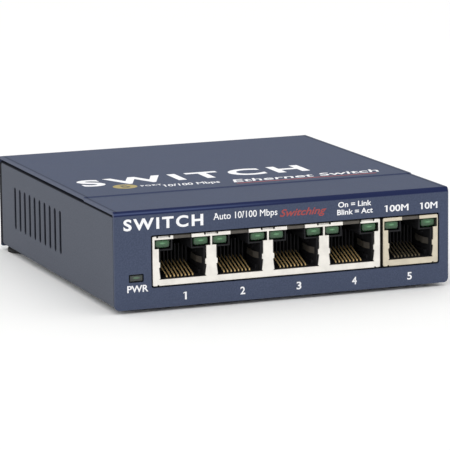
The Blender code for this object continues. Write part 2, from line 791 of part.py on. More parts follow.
def make_button(switch_rear):
    """Round cap through the rear panel on a square stem that runs into the switch."""
    shape = bmesh.new()
    cap_start = switch_rear + BUTTON_CLEAR
    rim = CASE_D + BUTTON_OUT - BUTTON_CHAMFER
    middle = at(SWITCH_X, rim, SWITCH_AXIS_Z)
    add_rod(shape, at(SWITCH_X, cap_start, SWITCH_AXIS_Z), middle, BUTTON_R, SIDES_ROUND)
    front_face = max(shape.faces, key=lambda face: face.calc_center_median().y)
    dome = bmesh.ops.extrude_face_region(shape, geom=[front_face])["geom"]
    moved = [item for item in dome if isinstance(item, bmesh.types.BMVert)]
    bmesh.ops.delete(shape, geom=[front_face], context="FACES_ONLY")
    narrow = (BUTTON_R - BUTTON_CHAMFER) / BUTTON_R
    bmesh.ops.scale(shape, verts=moved, vec=(narrow, 1.0, narrow), space=Matrix.Translation(-middle))
    bmesh.ops.translate(shape, verts=moved, vec=Vector((0.0, BUTTON_CHAMFER * MM, 0.0)))
    button = new_object("uplink_button", shape, BLACK_PLASTIC,
                        origin=at(SWITCH_X, CASE_D, SWITCH_AXIS_Z))
    stem = bmesh.new()
    add_box(stem, (SWITCH_X - STEM_HALF, SWITCH_X + STEM_HALF), (STEM_START, cap_start + 0.5),
            (SWITCH_AXIS_Z - STEM_HALF, SWITCH_AXIS_Z + STEM_HALF))
    combine(button, "stem", stem, "UNION")


def make_spring(start):
    """Return spring of the push switch, its coils closed up far enough for the full travel."""
    end = STEM_START - BUTTON_OUT - GAP
    steps = 8
    count = SPRING_TURNS * steps
    coil = bpy.data.curves.new("uplink_spring", "CURVE")
    coil.dimensions = "3D"
    coil.bevel_depth = SPRING_WIRE_R * MM
    coil.bevel_resolution = 1
    coil.use_fill_caps = True
    line = coil.splines.new("POLY")
    line.points.add(count)
    for step, knot in enumerate(line.points):
        turn = 2 * math.pi * step / steps
        depth = start + SPRING_WIRE_R + (end - start - 2 * SPRING_WIRE_R) * step / count
        place = at(SWITCH_X + SPRING_R * math.cos(turn), depth, SWITCH_AXIS_Z + SPRING_R * math.sin(turn))
        knot.co = (*place, 1.0)
    holder = bpy.data.objects.new("coil", coil)
    cutters.objects.link(holder)
    seen = holder.evaluated_get(bpy.context.evaluated_depsgraph_get())
    shape = bmesh.new()
    shape.from_mesh(bpy.data.meshes.new_from_object(seen))
    bpy.data.objects.remove(holder, do_unlink=True)
    bmesh.ops.remove_doubles(shape, verts=shape.verts, dist=0.000001)
    bmesh.ops.recalc_face_normals(shape, faces=shape.faces)
    new_object("uplink_spring", shape, ZINC)


# ---------------------------------------------------------------- parts on the board

def make_chip(name, x, depth, half_x, half_y, height, finish=BLACK_PLASTIC):
    low = BOARD_TOP + GAP
    return box_object(name, finish, (x - half_x, x + half_x), (depth - half_y, depth + half_y),
                      (low, low + height))


def make_heat_sink(x, depth, half_x, half_y, low, high, fins=7):
    shape = bmesh.new()
    add_box(shape, (x - half_x, x + half_x), (depth - half_y, depth + half_y), (low, low + 1.6))
    sink = new_object("heat_sink", shape, ALUMINIUM, smooth=False)
    blades = bmesh.new()
    pitch = (2 * half_x - 1.0) / (fins - 1)
    for index in range(fins):
        left = x - half_x + pitch * index
        add_box(blades, (left, left + 1.0), (depth - half_y, depth + half_y), (low + 0.8, high))
    combine(sink, "fins", blades, "UNION")


def make_capacitor(name, x, depth, radius, height):
    """Electrolytic can: a turned profile with a rolled groove near its foot."""
    low = BOARD_TOP + GAP
    profile = [(0.0, height), (radius - 0.4, height), (radius, height - 0.4), (radius, 2.2),
               (radius - 0.35, 1.8), (radius, 1.4), (radius, 0.0), (0.0, 0.0)]
    turned_object(name, BLACK_PLASTIC, profile, at(x, depth, low), SIDES_ROUND)


def make_board_parts():
    low = BOARD_TOP + GAP
    make_chip("switch_chip", -6.0, 50.0, 10.0, 10.0, 1.6)
    make_heat_sink(-6.0, 50.0, 10.5, 10.5, low + 1.6 + GAP, 16.0)
    make_chip("line_transformer_1_2", -20.5, 25.0, 7.6, 4.8, 6.0)
    make_chip("line_transformer_3_4", 11.0, 25.0, 7.6, 4.8, 6.0)
    make_chip("line_transformer_5", 36.0, 24.0, 6.4, 4.8, 6.0)
    make_chip("voltage_regulator", 20.0, 72.0, 3.3, 3.1, 2.3)
    crystal = bmesh.new()
    add_outline(crystal, slot_outline(11.0, 2.3), 3.4, Matrix.Translation(at(-28.0, 46.0, low + 1.7)))
    new_object("crystal", crystal, ZINC)
    inductor = bmesh.new()
    add_rod(inductor, at(8.0, 74.0, low), at(8.0, 74.0, low + 5.0), 4.6, SIDES_ROUND)
    new_object("power_inductor", inductor, COPPER)
    make_capacitor("input_capacitor", 9.0, 86.0, 4.0, 11.5)
    make_capacitor("output_capacitor", -3.0, 82.0, 3.15, 11.0)
    make_capacitor("bulk_capacitor", -12.0, 82.0, 3.15, 11.0)


def main():
    global parts, cutters, root
    clear_scene()
    parts = new_collection("network_switch")
    cutters = new_collection("cutters")
    root = bpy.data.objects.new("switch_origin", None)
    parts.objects.link(root)
    make_cover()
    make_base()
    make_feet()
    make_label()
    make_board()
    make_screws()
    make_jacks()
    make_power_light()
    make_power_jack()
    make_push_switch()
    make_board_parts()


main()
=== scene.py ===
import bmesh
import bpy
import numpy as np
from bpy.props import (FloatProperty, FloatVectorProperty, IntProperty, PointerProperty,
                       StringProperty)
from mathutils import Matrix, Vector


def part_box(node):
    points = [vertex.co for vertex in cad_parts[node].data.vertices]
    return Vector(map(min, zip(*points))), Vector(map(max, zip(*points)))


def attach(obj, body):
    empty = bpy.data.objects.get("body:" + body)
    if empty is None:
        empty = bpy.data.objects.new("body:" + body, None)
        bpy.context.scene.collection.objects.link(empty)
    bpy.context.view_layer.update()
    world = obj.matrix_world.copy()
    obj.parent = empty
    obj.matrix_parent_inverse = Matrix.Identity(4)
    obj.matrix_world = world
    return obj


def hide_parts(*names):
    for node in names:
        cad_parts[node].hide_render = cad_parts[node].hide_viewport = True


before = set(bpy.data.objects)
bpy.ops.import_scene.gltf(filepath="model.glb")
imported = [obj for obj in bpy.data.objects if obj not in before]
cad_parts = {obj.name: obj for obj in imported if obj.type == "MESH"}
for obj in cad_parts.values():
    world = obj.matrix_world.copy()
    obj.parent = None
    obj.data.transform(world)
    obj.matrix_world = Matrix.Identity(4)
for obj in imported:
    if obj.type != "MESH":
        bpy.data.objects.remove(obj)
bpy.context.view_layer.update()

bl_info = {
    "name": "Desktop Network Switch",
    "version": (1, 0, 0),
    "blender": (4, 5, 0),
    "location": "View3D > Sidebar > Switch",
    "description": "Builds a five-port desktop network switch piece by piece over its fixed frame",
    "category": "Add Mesh",
}

MM = 0.001
# The front panel's place, in millimetres; the distance within which points are one, in metres.
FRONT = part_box("cover")[0].y / MM
WELD = 0.000002
# How far the panels stand back under the print, and how far the print is sunk into them.
PRINT, PRINT_SUNK = 0.03, 0.02
# The angles from which an edge is shaded sharp, and from which it is rounded.
SHARP, BEVELLED = np.radians(36.0), np.radians(32.0)


def limits(node):
    """Lowest and highest (x, depth, z) of a frame node in millimetres, depth from the front."""
    return np.array(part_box(node), float) / MM - (0.0, FRONT, 0.0)


def middle_of(node):
    return limits(node).mean(axis=0)


def around(middle, half):
    """The span of so much to either side of a place."""
    return middle - half, middle + half


def linear(red, green, blue):
    """A display colour from 0 to 255 as the linear values a shader takes."""
    share = np.array([red, green, blue]) / 255.0
    curved = ((share + 0.055) / 1.055) ** 2.4
    return tuple(np.where(share > 0.04045, curved, share / 12.92).tolist())


def length(name, description, millimetres):
    return FloatProperty(name=name, description=description, default=millimetres * MM,
                         min=0.0, subtype="DISTANCE", unit="LENGTH", precision=5)


def colour(name, description, *display):
    return FloatVectorProperty(name=name, description=description, default=linear(*display),
                               min=0.0, max=1.0, size=3, subtype="COLOR")


# ------------------------------------------------------------------ sizes and colours

class SwitchCase(bpy.types.PropertyGroup):
    sheet: length("Sheet", "Thickness of the steel sheet", 0.8)
    bend: length("Bend", "Outer radius of every bend", 1.2)
    edge: length("Cut edge", "Rounding along each cut edge", 0.09)
    drop: length("Front drop", "How much lower the front part of the top lies", 0.25)
    drop_depth: length("Drop depth", "Where the top steps down, behind the front panel", 23.9)
    drop_run: length("Drop run", "Length of the step's slope", 0.7)
    corner: length("Panel corner", "Radius of the front panel's two lower corners", 1.3)
    rear_corner: length("Rear corner", "Radius of the rear panel's two lower corners", 0.4)
    flange: length("Flange", "Width of the tray's inward flanges", 5.0)
    seam: length("Seam", "Gap between the cover and the tray's walls", 0.35)
    clearance: length("Clearance", "Gap round each jack in its opening", 0.4)
    vents: IntProperty(name="Vents", description="Slots in each side wall", default=10, min=1)
    vent_pitch: length("Vent pitch", "Distance between slots", 4.52)
    vent_first: length("First vent", "Depth of the slot nearest the front", 44.6)
    vent_width: length("Vent width", "Width of one slot", 1.75)
    vent_low: length("Vent foot", "Height of a slot's lower end", 8.1)
    vent_high: length("Vent top", "Height of a slot's upper end", 20.1)


class SwitchJack(bpy.types.PropertyGroup):
    plate: length("Plate", "Thickness of the shells' sheet", 0.4)
    mouth: length("Mouth", "Half the width of a plug opening", 6.55)
    mouth_low: length("Mouth foot", "Height of a plug opening's lower edge", 8.3)
    lens_low: length("Lens level", "Height where an opening widens for the lights", 16.35)
    lens_high: length("Lens top", "Height of the openings' upper edge", 18.75)
    lens_half: length("Lens level width", "Half the opening's width at the lights", 7.68)
    latch: length("Latch", "Half the width of the latch slot", 2.55)
    latch_high: length("Latch top", "Height of the shell's front bar over the lights", 19.05)
    latch_end: length("Latch end", "Height of the latch slot, past the shell's top", 20.5)
    cavity: length("Cavity", "Half the width of the plug cavity", 6.0)
    cavity_high: length("Cavity top", "Height of the plug cavity", 15.7)
    cavity_depth: length("Cavity depth", "Depth of the plug cavity", 12.9)
    wire: length("Wire", "Width of one contact wire", 0.36)
    wire_pitch: length("Wire pitch", "Distance between contact wires", 1.02)


class SwitchColours(bpy.types.PropertyGroup):
    cover: colour("Cover", "Paint of the cover", 74, 82, 103)
    tray: colour("Tray", "Paint of the tray", 87, 91, 101)
    # Bend: the colour of the painted shade along the front bend and on the step's slope.
    bend: colour("Bend", "Where the paint runs thick along the front bend", 28, 36, 74)
    plate: colour("Plate", "Tin plate of the four-port shell", 250, 246, 238)
    plate_single: colour("Single plate", "Tin plate of the fifth port's shell", 222, 212, 190)
    plastic: colour("Plastic", "Black moulded plastic", 34, 34, 36)
    wire: colour("Wire", "Gold-plated contact wire", 240, 208, 146)
    lens: colour("Lens", "Green of the lights", 30, 82, 42)
    ink: colour("Ink", "White print", 250, 250, 252)
    ink_red: colour("Red ink", "Red print", 160, 66, 66)
    badge: colour("Badge", "Gold print of the round badge", 168, 150, 84)
    rubber: colour("Rubber", "Feet", 22, 22, 23)
    laminate: colour("Laminate", "Solder mask of the board", 20, 84, 48)
    zinc: colour("Zinc", "Screws, spring and crystal can", 190, 190, 184)


class SwitchStage(bpy.types.PropertyGroup):
    lens: FloatProperty(name="Lens", description="Focal length on a 36 mm sensor, in millimetres",
                        default=244.43, min=1.0)
    sky: FloatProperty(name="Surround", description="Strength of the white surround", default=1.0,
                       min=0.0)
    key: FloatProperty(name="Key light", description="Power of the light above", default=1.1,
                       min=0.0, subtype="POWER", unit="POWER")
    side: FloatProperty(name="Side light", description="Power of the light on the left",
                        default=0.5, min=0.0, subtype="POWER", unit="POWER")
    floor: colour("Floor", "Plain pale floor", 253, 253, 252)


class SwitchWords(bpy.types.PropertyGroup):
    name: StringProperty(name="Wordmark", description="Large plain word on the top and the front",
                         default="SWITCH")
    rate: StringProperty(name="Rate", description="Line data rates", default="Auto 10/100 Mbps")
    kind: StringProperty(name="Kind", description="What the device is", default="Ethernet Switch")


def mm(value):
    """A length property in millimetres."""
    return value / MM


# ------------------------------------------------------------------ surfaces

# The four quarters' signs, and the matrix that turns a row of (x, y) by one quarter.
QUARTERS = np.array([(1, 1), (-1, 1), (-1, -1), (1, -1)])
QUARTER_TURN = np.array([[0, 1], [-1, 0]])


def grid(rows, columns, ring=False):
    """Quads between neighbours of a rows by columns grid of points; ring joins the last column to
    the first."""
    row = np.arange(rows - 1)[:, None] * columns
    column = np.arange(columns if ring else columns - 1)[None, :]
    after = (column + 1) % columns
    corners = (row + column, row + after, row + columns + after, row + columns + column)
    return np.stack(corners, -1).reshape(-1, 4)


def lofted(rings):
    """Equal rings of points joined row to row, with a face over the first and the last ring."""
    rows, count, _ = rings.shape
    ends = np.arange(count)[None, :] + np.array([[0], [(rows - 1) * count]])
    return rings.reshape(-1, 3), [grid(rows, count, ring=True), ends]


def prism(outline, low, high, axis=1):
    """An outline in the plane across one axis, carried straight from low to high along it."""
    return lofted(np.stack([np.insert(outline, axis, level, axis=1) for level in (low, high)]))


def arc(centre, radius, start=0.0, end=1.0, steps=5):
    """Part of a circle: centre + radius (cos t, sin t), t from start to end in quarter turns."""
    turn = np.linspace(start, end, steps + 1) * np.pi / 2
    return np.array(centre) + radius * np.stack([np.cos(turn), np.sin(turn)], -1)


def rounded(half, radius, steps=4):
    """A rectangle's outline with round corners: a quarter's centre plus radius (cos t, sin t)."""
    turn = np.linspace(0.0, np.pi / 2, steps + 1)
    angle = (np.arange(4)[:, None] * np.pi / 2 + turn).ravel()
    sign = QUARTERS.repeat(steps + 1, axis=0)
    return sign * (np.array(half) - radius) + radius * np.stack([np.cos(angle), np.sin(angle)], -1)


def block(x, depth, z, corner=0.0, edge=0.0, axis=1, steps=3):
    """A box with round edges: rings along one axis, each drawn in by edge (1 - sin t) at
    edge (1 - cos t) from its end for t up to a quarter turn, and rounded at its corners by the
    corner radius less that."""
    sides = np.array([x, depth, z], float)
    plane = [side for side in range(3) if side != axis]
    turn = np.linspace(0.0, np.pi / 2, steps + 1) if edge else np.array([np.pi / 2])
    inset = np.tile(edge * (1 - np.sin(turn)), 2)
    step = edge * (1 - np.cos(turn))
    inset[len(turn):] = inset[len(turn):][::-1]
    along = np.concatenate([sides[axis, 0] + step, (sides[axis, 1] - step)[::-1]])
    half = np.ptp(sides[plane], axis=1) / 2
    radius = np.maximum(corner - inset, 0.0)[:, None, None]
    unit = rounded((1.0, 1.0), 1.0, steps)
    sign = QUARTERS.repeat(steps + 1, axis=0)
    flat = sign * (half - inset[:, None, None] - radius) + radius * unit + sides[plane].mean(axis=1)
    rings = np.empty((len(along), len(unit), 3))
    rings[:, :, plane] = flat
    rings[:, :, axis] = along[:, None]
    return lofted(rings)


def turned(profile, centre, axis=2, sides=40):
    """A profile of (radius, place on an axis) turned about it: centre + radius (cos t, sin t)."""
    profile = np.array(profile, float)
    plane = [side for side in range(3) if side != axis]
    turn = np.linspace(0.0, 2 * np.pi, sides, endpoint=False)
    rings = np.empty((len(profile), sides, 3))
    rings[:, :, plane[0]] = centre[plane[0]] + profile[:, :1] * np.cos(turn)
    rings[:, :, plane[1]] = centre[plane[1]] + profile[:, :1] * np.sin(turn)
    rings[:, :, axis] = profile[:, 1:]
    return lofted(rings)


def rod(node, radius, ends, axis=2, sides=24):
    """A straight round body along an axis through a node's middle."""
    return turned([(radius, ends[0]), (radius, ends[1])], middle_of(node), axis, sides)


def carried(path, section, across, axis=0):
    """A section of (across, along the path's normal) carried down a flat path, once for each place
    across."""
    path, section = np.array(path, float), np.array(section, float)
    run = np.gradient(path, axis=0)
    run /= np.linalg.norm(run, axis=1, keepdims=True)
    normal = np.stack([-run[:, 1], run[:, 0]], -1)
    flat = path[:, None] + normal[:, None] * section[None, :, 1:]
    bodies = []
    for place in across:
        side = np.broadcast_to(place + section[:, 0], flat.shape[:2])
        bodies.append(lofted(np.insert(flat, axis, side, axis=2)))
    return bodies


def bent(corners, radius, steps=12, margin=0.0):
    """An open path whose inner corners become arcs: centre = corner + bisector radius / sin(half
    angle), and the arc runs between its two tangent points by spherical interpolation. A corner may
    carry its own radius. A margin adds a point that far outside each tangent point, which keeps the
    shading of the flats even."""
    path = [np.array([corners[0]], float)]
    share = np.linspace(0.0, 1.0, steps + 1)[:, None]
    for before, corner, after in zip(corners, corners[1:], corners[2:]):
        size = corner[2] if len(corner) == 3 else radius
        here = np.array(corner[:2], float)
        back, ahead = np.array(before[:2]) - here, np.array(after[:2]) - here
        back, ahead = back / np.linalg.norm(back), ahead / np.linalg.norm(ahead)
        half = np.arccos(back @ ahead) / 2
        middle = (back + ahead) / np.linalg.norm(back + ahead)
        first = back * size / np.tan(half) - middle * size / np.sin(half)
        last = ahead * size / np.tan(half) - middle * size / np.sin(half)
        sweep = np.pi - 2 * half
        arc = (np.sin((1 - share) * sweep) * first + np.sin(share * sweep) * last) / np.sin(sweep)
        arc += here + middle * size / np.sin(half)
        if margin:
            arc = np.concatenate([[arc[0] + back * margin], arc, [arc[-1] + ahead * margin]])
        path.append(arc)
    path.append(np.array([corners[-1][:2]], float))
    return np.concatenate(path)


def slot_outline(half_width, low, high, middle=0.0, steps=8):
    """An upright slot: half a circle over the top and half a circle under the foot."""
    arch = arc((0.0, 0.0), half_width, 0.0, 2.0, steps)
    head, foot = (middle, high - half_width), (middle, low + half_width)
    return np.concatenate([arch + head, foot - arch])


# ------------------------------------------------------------------ making objects

def to_mesh(name, surfaces):
    """Put surfaces in millimetres into one mesh in metres, in the frame."""
    counts = [len(points) for points, _ in surfaces]
    starts = np.cumsum([0] + counts[:-1])
    points = (np.concatenate([points for points, _ in surfaces]) + (0.0, FRONT, 0.0)) * MM
    faces = [face + start for (_, group), start in zip(surfaces, starts) for face in group]
    corners = np.concatenate([face.ravel() for face in faces])
    sizes = np.concatenate([np.full(len(face), face.shape[1]) for face in faces])
    mesh = bpy.data.meshes.new(name)
    mesh.vertices.add(len(points))
    mesh.vertices.foreach_set("co", points.ravel())
    mesh.loops.add(len(corners))
    mesh.loops.foreach_set("vertex_index", corners)
    mesh.polygons.add(len(sizes))
    mesh.polygons.foreach_set("loop_start", np.cumsum(sizes) - sizes)
    mesh.update(calc_edges=True)
    mesh.validate()
    return mesh


def closed_mesh(name, surfaces, slivers=True):
    """A mesh of closed bodies: doubles merged, slivers dissolved, faces turned outward."""
    mesh = to_mesh(name, surfaces)
    shape = bmesh.new()
    shape.from_mesh(mesh)
    bmesh.ops.remove_doubles(shape, verts=shape.verts, dist=WELD)
    if slivers:
        bmesh.ops.dissolve_degenerate(shape, dist=WELD, edges=shape.edges)
    bmesh.ops.recalc_face_normals(shape, faces=shape.faces)
    shape.to_mesh(mesh)
    shape.free()
    return mesh


def sheet_mesh(name, path, low, high, axis):
    """An open sheet: a path in the plane across one axis, carried along it, facing away from its
    middle."""
    points = prism(path, low, high, axis)[0]
    mesh = to_mesh(name, [(points, [grid(2, len(path))])])
    middles = np.array([face.center for face in mesh.polygons])
    normals = np.array([face.normal * face.area for face in mesh.polygons])
    if np.sum((middles - middles.mean(axis=0)) * normals) < 0:
        mesh.flip_normals()
    return mesh


def new_object(name, mesh):
    made = bpy.data.objects.new(name, mesh)
    bpy.context.scene.collection.objects.link(made)
    return made


def thicken(made, thickness):
    wall = made.modifiers.new("wall", "SOLIDIFY")
    wall.thickness = thickness * MM
    wall.offset = -1.0
    wall.use_even_offset = True


def cut(made, *groups):
    """Cut groups of closed bodies from an object, one exact Boolean for each group."""
    for surfaces in filter(None, groups):
        tool = new_object(made.name + "_tool", closed_mesh("tool", surfaces))
        change = made.modifiers.new("cut", "BOOLEAN")
        change.operation = "DIFFERENCE"
        change.solver = "EXACT"
        change.object = tool


def soften(made, width, segments=2):
    """Round every sharp edge by a small width."""
    edge = made.modifiers.new("edges", "BEVEL")
    edge.width = width * MM
    edge.segments = segments
    edge.limit_method = "ANGLE"
    edge.angle_limit = BEVELLED


def settle(made):
    """Take the mesh that the modifiers give, and drop the modifiers and their tools."""
    bpy.context.view_layer.update()
    seen = made.evaluated_get(bpy.context.evaluated_depsgraph_get())
    mesh = bpy.data.meshes.new_from_object(seen)
    if not mesh.polygons:
        raise RuntimeError(made.name + " came out empty")
    tools = [change.object for change in made.modifiers if change.type == "BOOLEAN"]
    made.modifiers.clear()
    made.data = mesh
    for tool in tools:
        bpy.data.objects.remove(tool, do_unlink=True)


def add_bodies(made, surfaces):
    """Lay more closed bodies into an object's mesh."""
    extra = closed_mesh("extra", surfaces)
    shape = bmesh.new()
    shape.from_mesh(made.data)
    shape.from_mesh(extra)
    shape.to_mesh(made.data)
    shape.free()
    bpy.data.meshes.remove(extra)


def finish_piece(made, look, replaces=(), body="case"):
    """Shade a settled piece, give it its material, and let it ride on its body."""
    made.data.shade_smooth()
    made.data.set_sharp_from_angle(angle=SHARP)
    even = made.modifiers.new("even", "WEIGHTED_NORMAL")
    even.weight = 100
    even.keep_sharp = True
    settle(made)
    made.data.name = made.name
    made.data.materials.clear()
    made.data.materials.append(look_of(look))
    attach(made, body)
    if replaces:
        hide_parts(*replaces)
    return made


def print_piece(name, look, surfaces):
    """A printed piece; its letters keep their thin faces."""
    return finish_piece(new_object(name, closed_mesh(name, surfaces, slivers=False)), look)


def piece(name, surfaces, look, cuts=(), edge=0.0, extras=(), replaces=(), body="case"):
    """A finished piece from closed bodies: cut, soften its edges, add what is fixed to it."""
    made = new_object(name, closed_mesh(name, surfaces))
    cut(made, *cuts)
    if edge:
        soften(made, edge)
    if made.modifiers:
        settle(made)
    if extras:
        add_bodies(made, extras)
    return finish_piece(made, look, replaces, body)


def mark_own_place(made):
    """Store each point's place in the piece's own box, from -1 to 1 each way."""
    points = np.empty(len(made.data.vertices) * 3, np.float32)
    made.data.vertices.foreach_get("co", points)
    points = points.reshape(-1, 3)
    low, high = points.min(axis=0), points.max(axis=0)
    own = (points - (low + high) / 2) / ((high - low) / 2)
    made.data.attributes.new("own_place", "FLOAT_VECTOR", "POINT").data.foreach_set(
        "vector", own.ravel())


# ------------------------------------------------------------------ materials

class Value:
    """A shader socket; arithmetic on it adds the Math nodes."""

    def __init__(self, finish, socket):
        self.finish = finish
        self.socket = socket

    def maths(self, operation, first, second):
        return self.finish.node("ShaderNodeMath", {"operation": operation}, {0: first, 1: second})

    def __add__(self, other):
        return self.maths("ADD", self, other)

    def __radd__(self, other):
        return self.maths("ADD", other, self)

    def __sub__(self, other):
        return self.maths("SUBTRACT", self, other)

    def __rsub__(self, other):
        return self.maths("SUBTRACT", other, self)

    def __mul__(self, other):
        return self.maths("MULTIPLY", self, other)

    def __rmul__(self, other):
        return self.maths("MULTIPLY", other, self)

    def __abs__(self):
        return self.maths("ABSOLUTE", self, 0.0)


class Finish:
    """One material under construction round its Principled shader."""

    def __init__(self, name, roughness=0.5, metallic=0.0, **constants):
        self.material = bpy.data.materials.new(name + "_finish")
        self.material.use_nodes = True
        self.tree = self.material.node_tree
        self.shader = self.tree.nodes["Principled BSDF"]
        self.feed(Roughness=roughness, Metallic=metallic)
        for socket, value in constants.items():
            self.shader.inputs[socket.replace("_", " ")].default_value = value

    def node(self, kind, settings=None, inputs=None, output=0):
        """Any node: its settings first, then the values or links of its sockets."""
        made = self.tree.nodes.new(kind)
        for setting, value in (settings or {}).items():
            setattr(made, setting, value)
        for socket, value in (inputs or {}).items():
            self.connect(made.inputs[socket], value)
        return Value(self, made.outputs[output])

    def connect(self, socket, value):
        if isinstance(value, Value):
            self.tree.links.new(value.socket, socket)
        elif socket.type == "RGBA" and len(value) == 3:
            socket.default_value = (*value, 1.0)
        else:
            socket.default_value = value

    def feed(self, **sockets):
        for socket, value in sockets.items():
            self.connect(self.shader.inputs[socket.replace("_", " ")], value)

    def place(self, scale=(1.0, 1.0, 1.0), location=(0.0, 0.0, 0.0), own=False):
        """The object's place, or the piece's own marked one, scaled and shifted."""
        if own:
            source = self.node("ShaderNodeAttribute", {"attribute_name": "own_place"},
                               output="Vector")
        else:
            source = self.node("ShaderNodeTexCoord", output="Object")
        return self.node("ShaderNodeMapping", None,
                         {"Vector": source, "Scale": scale, "Location": location})

    def frame_place(self):
        """Place across, depth behind the front panel and height in the frame, in millimetres."""
        return self.axes(self.place((1.0 / MM,) * 3, (0.0, -FRONT, 0.0)))

    def noise(self, size, detail=2.0, stretch=(1.0, 1.0, 1.0)):
        """Noise whose features are about size millimetres, from 0 to 1."""
        return self.node("ShaderNodeTexNoise", None, {
            "Vector": self.place(stretch), "Scale": 1.0 / (size * MM), "Detail": detail})

    def mix(self, share, first, second):
        return self.node("ShaderNodeMix", {"data_type": "RGBA"}, {0: share, 6: first, 7: second}, 2)

    def between(self, value, low, high):
        """0 below low, 1 above high, smooth in between; high may be the lower one."""
        return self.node("ShaderNodeMapRange", {"interpolation_type": "SMOOTHSTEP"},
                         {"Value": value, 1: low, 2: high})

    def axes(self, vector):
        split = self.node("ShaderNodeSeparateXYZ", None, {0: vector}).socket.node
        return [Value(self, socket) for socket in split.outputs]

    def bump(self, height, depth, normal=None):
        """Turn a height from 0 to 1 into relief depth millimetres high."""
        inputs = {"Height": height, "Distance": depth * MM, "Strength": 1.0}
        if normal:
            inputs["Normal"] = normal
        relief = self.node("ShaderNodeBump", None, inputs, "Normal")
        self.feed(Normal=relief)
        return relief

    def done(self, tone, height, depth, normal=None, **sockets):
        """Feed the colour and the other sockets, raise the relief, and give the material."""
        self.feed(Base_Color=tone, **sockets)
        self.bump(height, depth, normal)
        return self.material


def shade(tone, share):
    """A colour made darker or lighter."""
    return [min(1.0, part * share) for part in tone]


def cover_marks(look, bend):
    """Shares and colours over the cover, by place in millimetres: painted shade along the front
    bend with a painted highlight in it, painted shade on the step's slope, a line of painted shade
    beside each side edge, lighter bare cut edges, and painted shade on the cut edges at the rear.
    """
    across, depth, height = look.frame_place()
    half, rear, top = limits("cover")[1]
    below, inward = top - height, half - abs(across)
    on_front, cut_edge = look.between(depth, 1.45, 1.15), look.between(inward, 0.16, 0.04)
    bend_shade = on_front * look.between(below, 1.65, 1.3)
    painted_glint = on_front * look.between(abs(below - 0.9), 0.3, 0.1) * look.between(across, 10.0, -30.0)
    from_step = abs(depth - mm(bpy.context.scene.switch_case.drop_depth))
    slope = look.between(from_step, 0.5, 0.35) * look.between(below, 0.5, 0.3)
    fold_shade = look.between(abs(inward - 0.9), 0.35, 0.2) * look.between(below, 0.6, 0.4)
    return [
        # Painted shade along the front bend, and a painted highlight within it.
        (0.88 * bend_shade, bend),
        (0.6 * painted_glint, linear(84, 96, 132)),
        # Painted shade on the step's slope.
        (0.4 * slope, bend),
        # A line of painted shade beside each side edge of the top.
        (0.6 * fold_shade, linear(30, 34, 50)),
        ((0.1 + 0.4 * look.between(below, 1.6, 1.2)) * cut_edge, linear(108, 112, 126)),
        # Painted shade on the cut edges at the rear.
        (0.9 * cut_edge * look.between(depth, rear - 1.2, rear - 0.9), linear(14, 16, 24)),
    ]


def tray_marks(look):
    """Painted shade: near black in the gap under the cover and behind the walls at the rear, and
    dark on the slots' inner sides and every inner face of the walls higher than 4.5 mm.
    """
    across, depth, height = look.frame_place()
    half, rear, top = limits("cover")[1]
    # Painted shade in the seam under the cover and at the rear.
    gap = look.between(top - height, 1.95, 1.65) + look.between(depth, rear - 2.4, rear - 2.0)
    # Painted shade on the inner faces, the slots' sides among them.
    slots = look.between(half - abs(across), 0.12, 0.3) * look.between(height, 4.0, 4.5)
    return [(0.92 * look.between(gap, 0.0, 1.0), linear(8, 9, 12)),
            (0.9 * slots, linear(14, 17, 28))]


def paint(name, base, bend=None):
    """Satin powder coat: orange peel and cloudy tone, with the painted light and shade and the bare
    cut edges of the cover, or the painted shade of the tray.
    """
    look = Finish(name, Specular_IOR_Level=0.02)
    fine, clouds = look.noise(0.42, 3.0), look.noise(9.0, 3.0)
    tone = look.mix(look.between(fine, 0.3, 0.75), shade(base, 0.88), shade(base, 1.13))
    tone = look.mix(0.16 * clouds, tone, shade(base, 1.5))
    for share, mark in cover_marks(look, bend) if bend else tray_marks(look):
        tone = look.mix(share, tone, mark)
    peel = look.bump(look.noise(1.6, 2.0), 0.01)
    return look.done(tone, fine, 0.012, peel, Roughness=0.42 + 0.12 * fine + 0.06 * clouds)


def tin(name, base):
    """Bright tin plate: rolled grain, faint handling marks, and painted shade behind its front
    face.
    """
    look = Finish(name)
    grain, marks = look.noise(0.35, 3.0, (0.12, 1.0, 1.0)), look.noise(3.2, 4.0)
    behind = look.between(look.frame_place()[1], 0.2, 0.45)
    tone = look.mix(look.between(marks, 0.35, 0.75), base, shade(base, 0.86))
    tone = look.mix(0.25 * grain, tone, shade(base, 0.8))
    # Painted shade behind the front face, where the plate also stops being metallic.
    tone = look.mix(0.93 * behind, tone, linear(20, 20, 20))
    return look.done(tone, grain, 0.006, Metallic=0.35 - 0.35 * behind,
                     Roughness=0.3 + 0.18 * grain + 0.12 * marks)


def plastic(name, base, grain_size=0.25, roughness=0.42):
    """Moulded plastic with a fine eroded texture and slight sink."""
    look = Finish(name, Specular_IOR_Level=0.12)
    fine, flow = look.noise(grain_size, 3.0), look.noise(4.5, 2.0)
    tone = look.mix(fine, shade(base, 0.7), shade(base, 1.5))
    return look.done(tone, fine, 0.008, look.bump(flow, 0.02),
                     Roughness=roughness + 0.16 * fine + 0.08 * flow)


def metal(name, base, roughness=0.3, grain_size=0.5, metallic=1.0, stretch=(1.0, 1.0, 1.0)):
    """Plated metal with drawn grain and dulled patches."""
    look = Finish(name, metallic=metallic)
    grain, dull = look.noise(grain_size, 3.0, stretch), look.noise(2.4, 3.0)
    tone = look.mix(look.between(dull, 0.4, 0.8), base, shade(base, 0.72))
    return look.done(tone, grain, 0.006, Roughness=roughness + 0.15 * grain + 0.15 * dull)


def contact(name, base, dull):
    """Contact wire: gold low down, and darker up its rise, as painted shade deep in the cavity."""
    look = Finish(name, metallic=0.45)
    grain = look.noise(0.4, 3.0, (1.0, 0.2, 0.2))
    # Painted shade: the wire turns to the darker colour up its rise.
    tone = look.mix(look.between(look.frame_place()[2], 11.8, 9.4), dull, base)
    tone = look.mix(0.3 * grain, tone, shade(base, 0.7))
    return look.done(tone, grain, 0.005, Roughness=0.26 + 0.15 * grain)


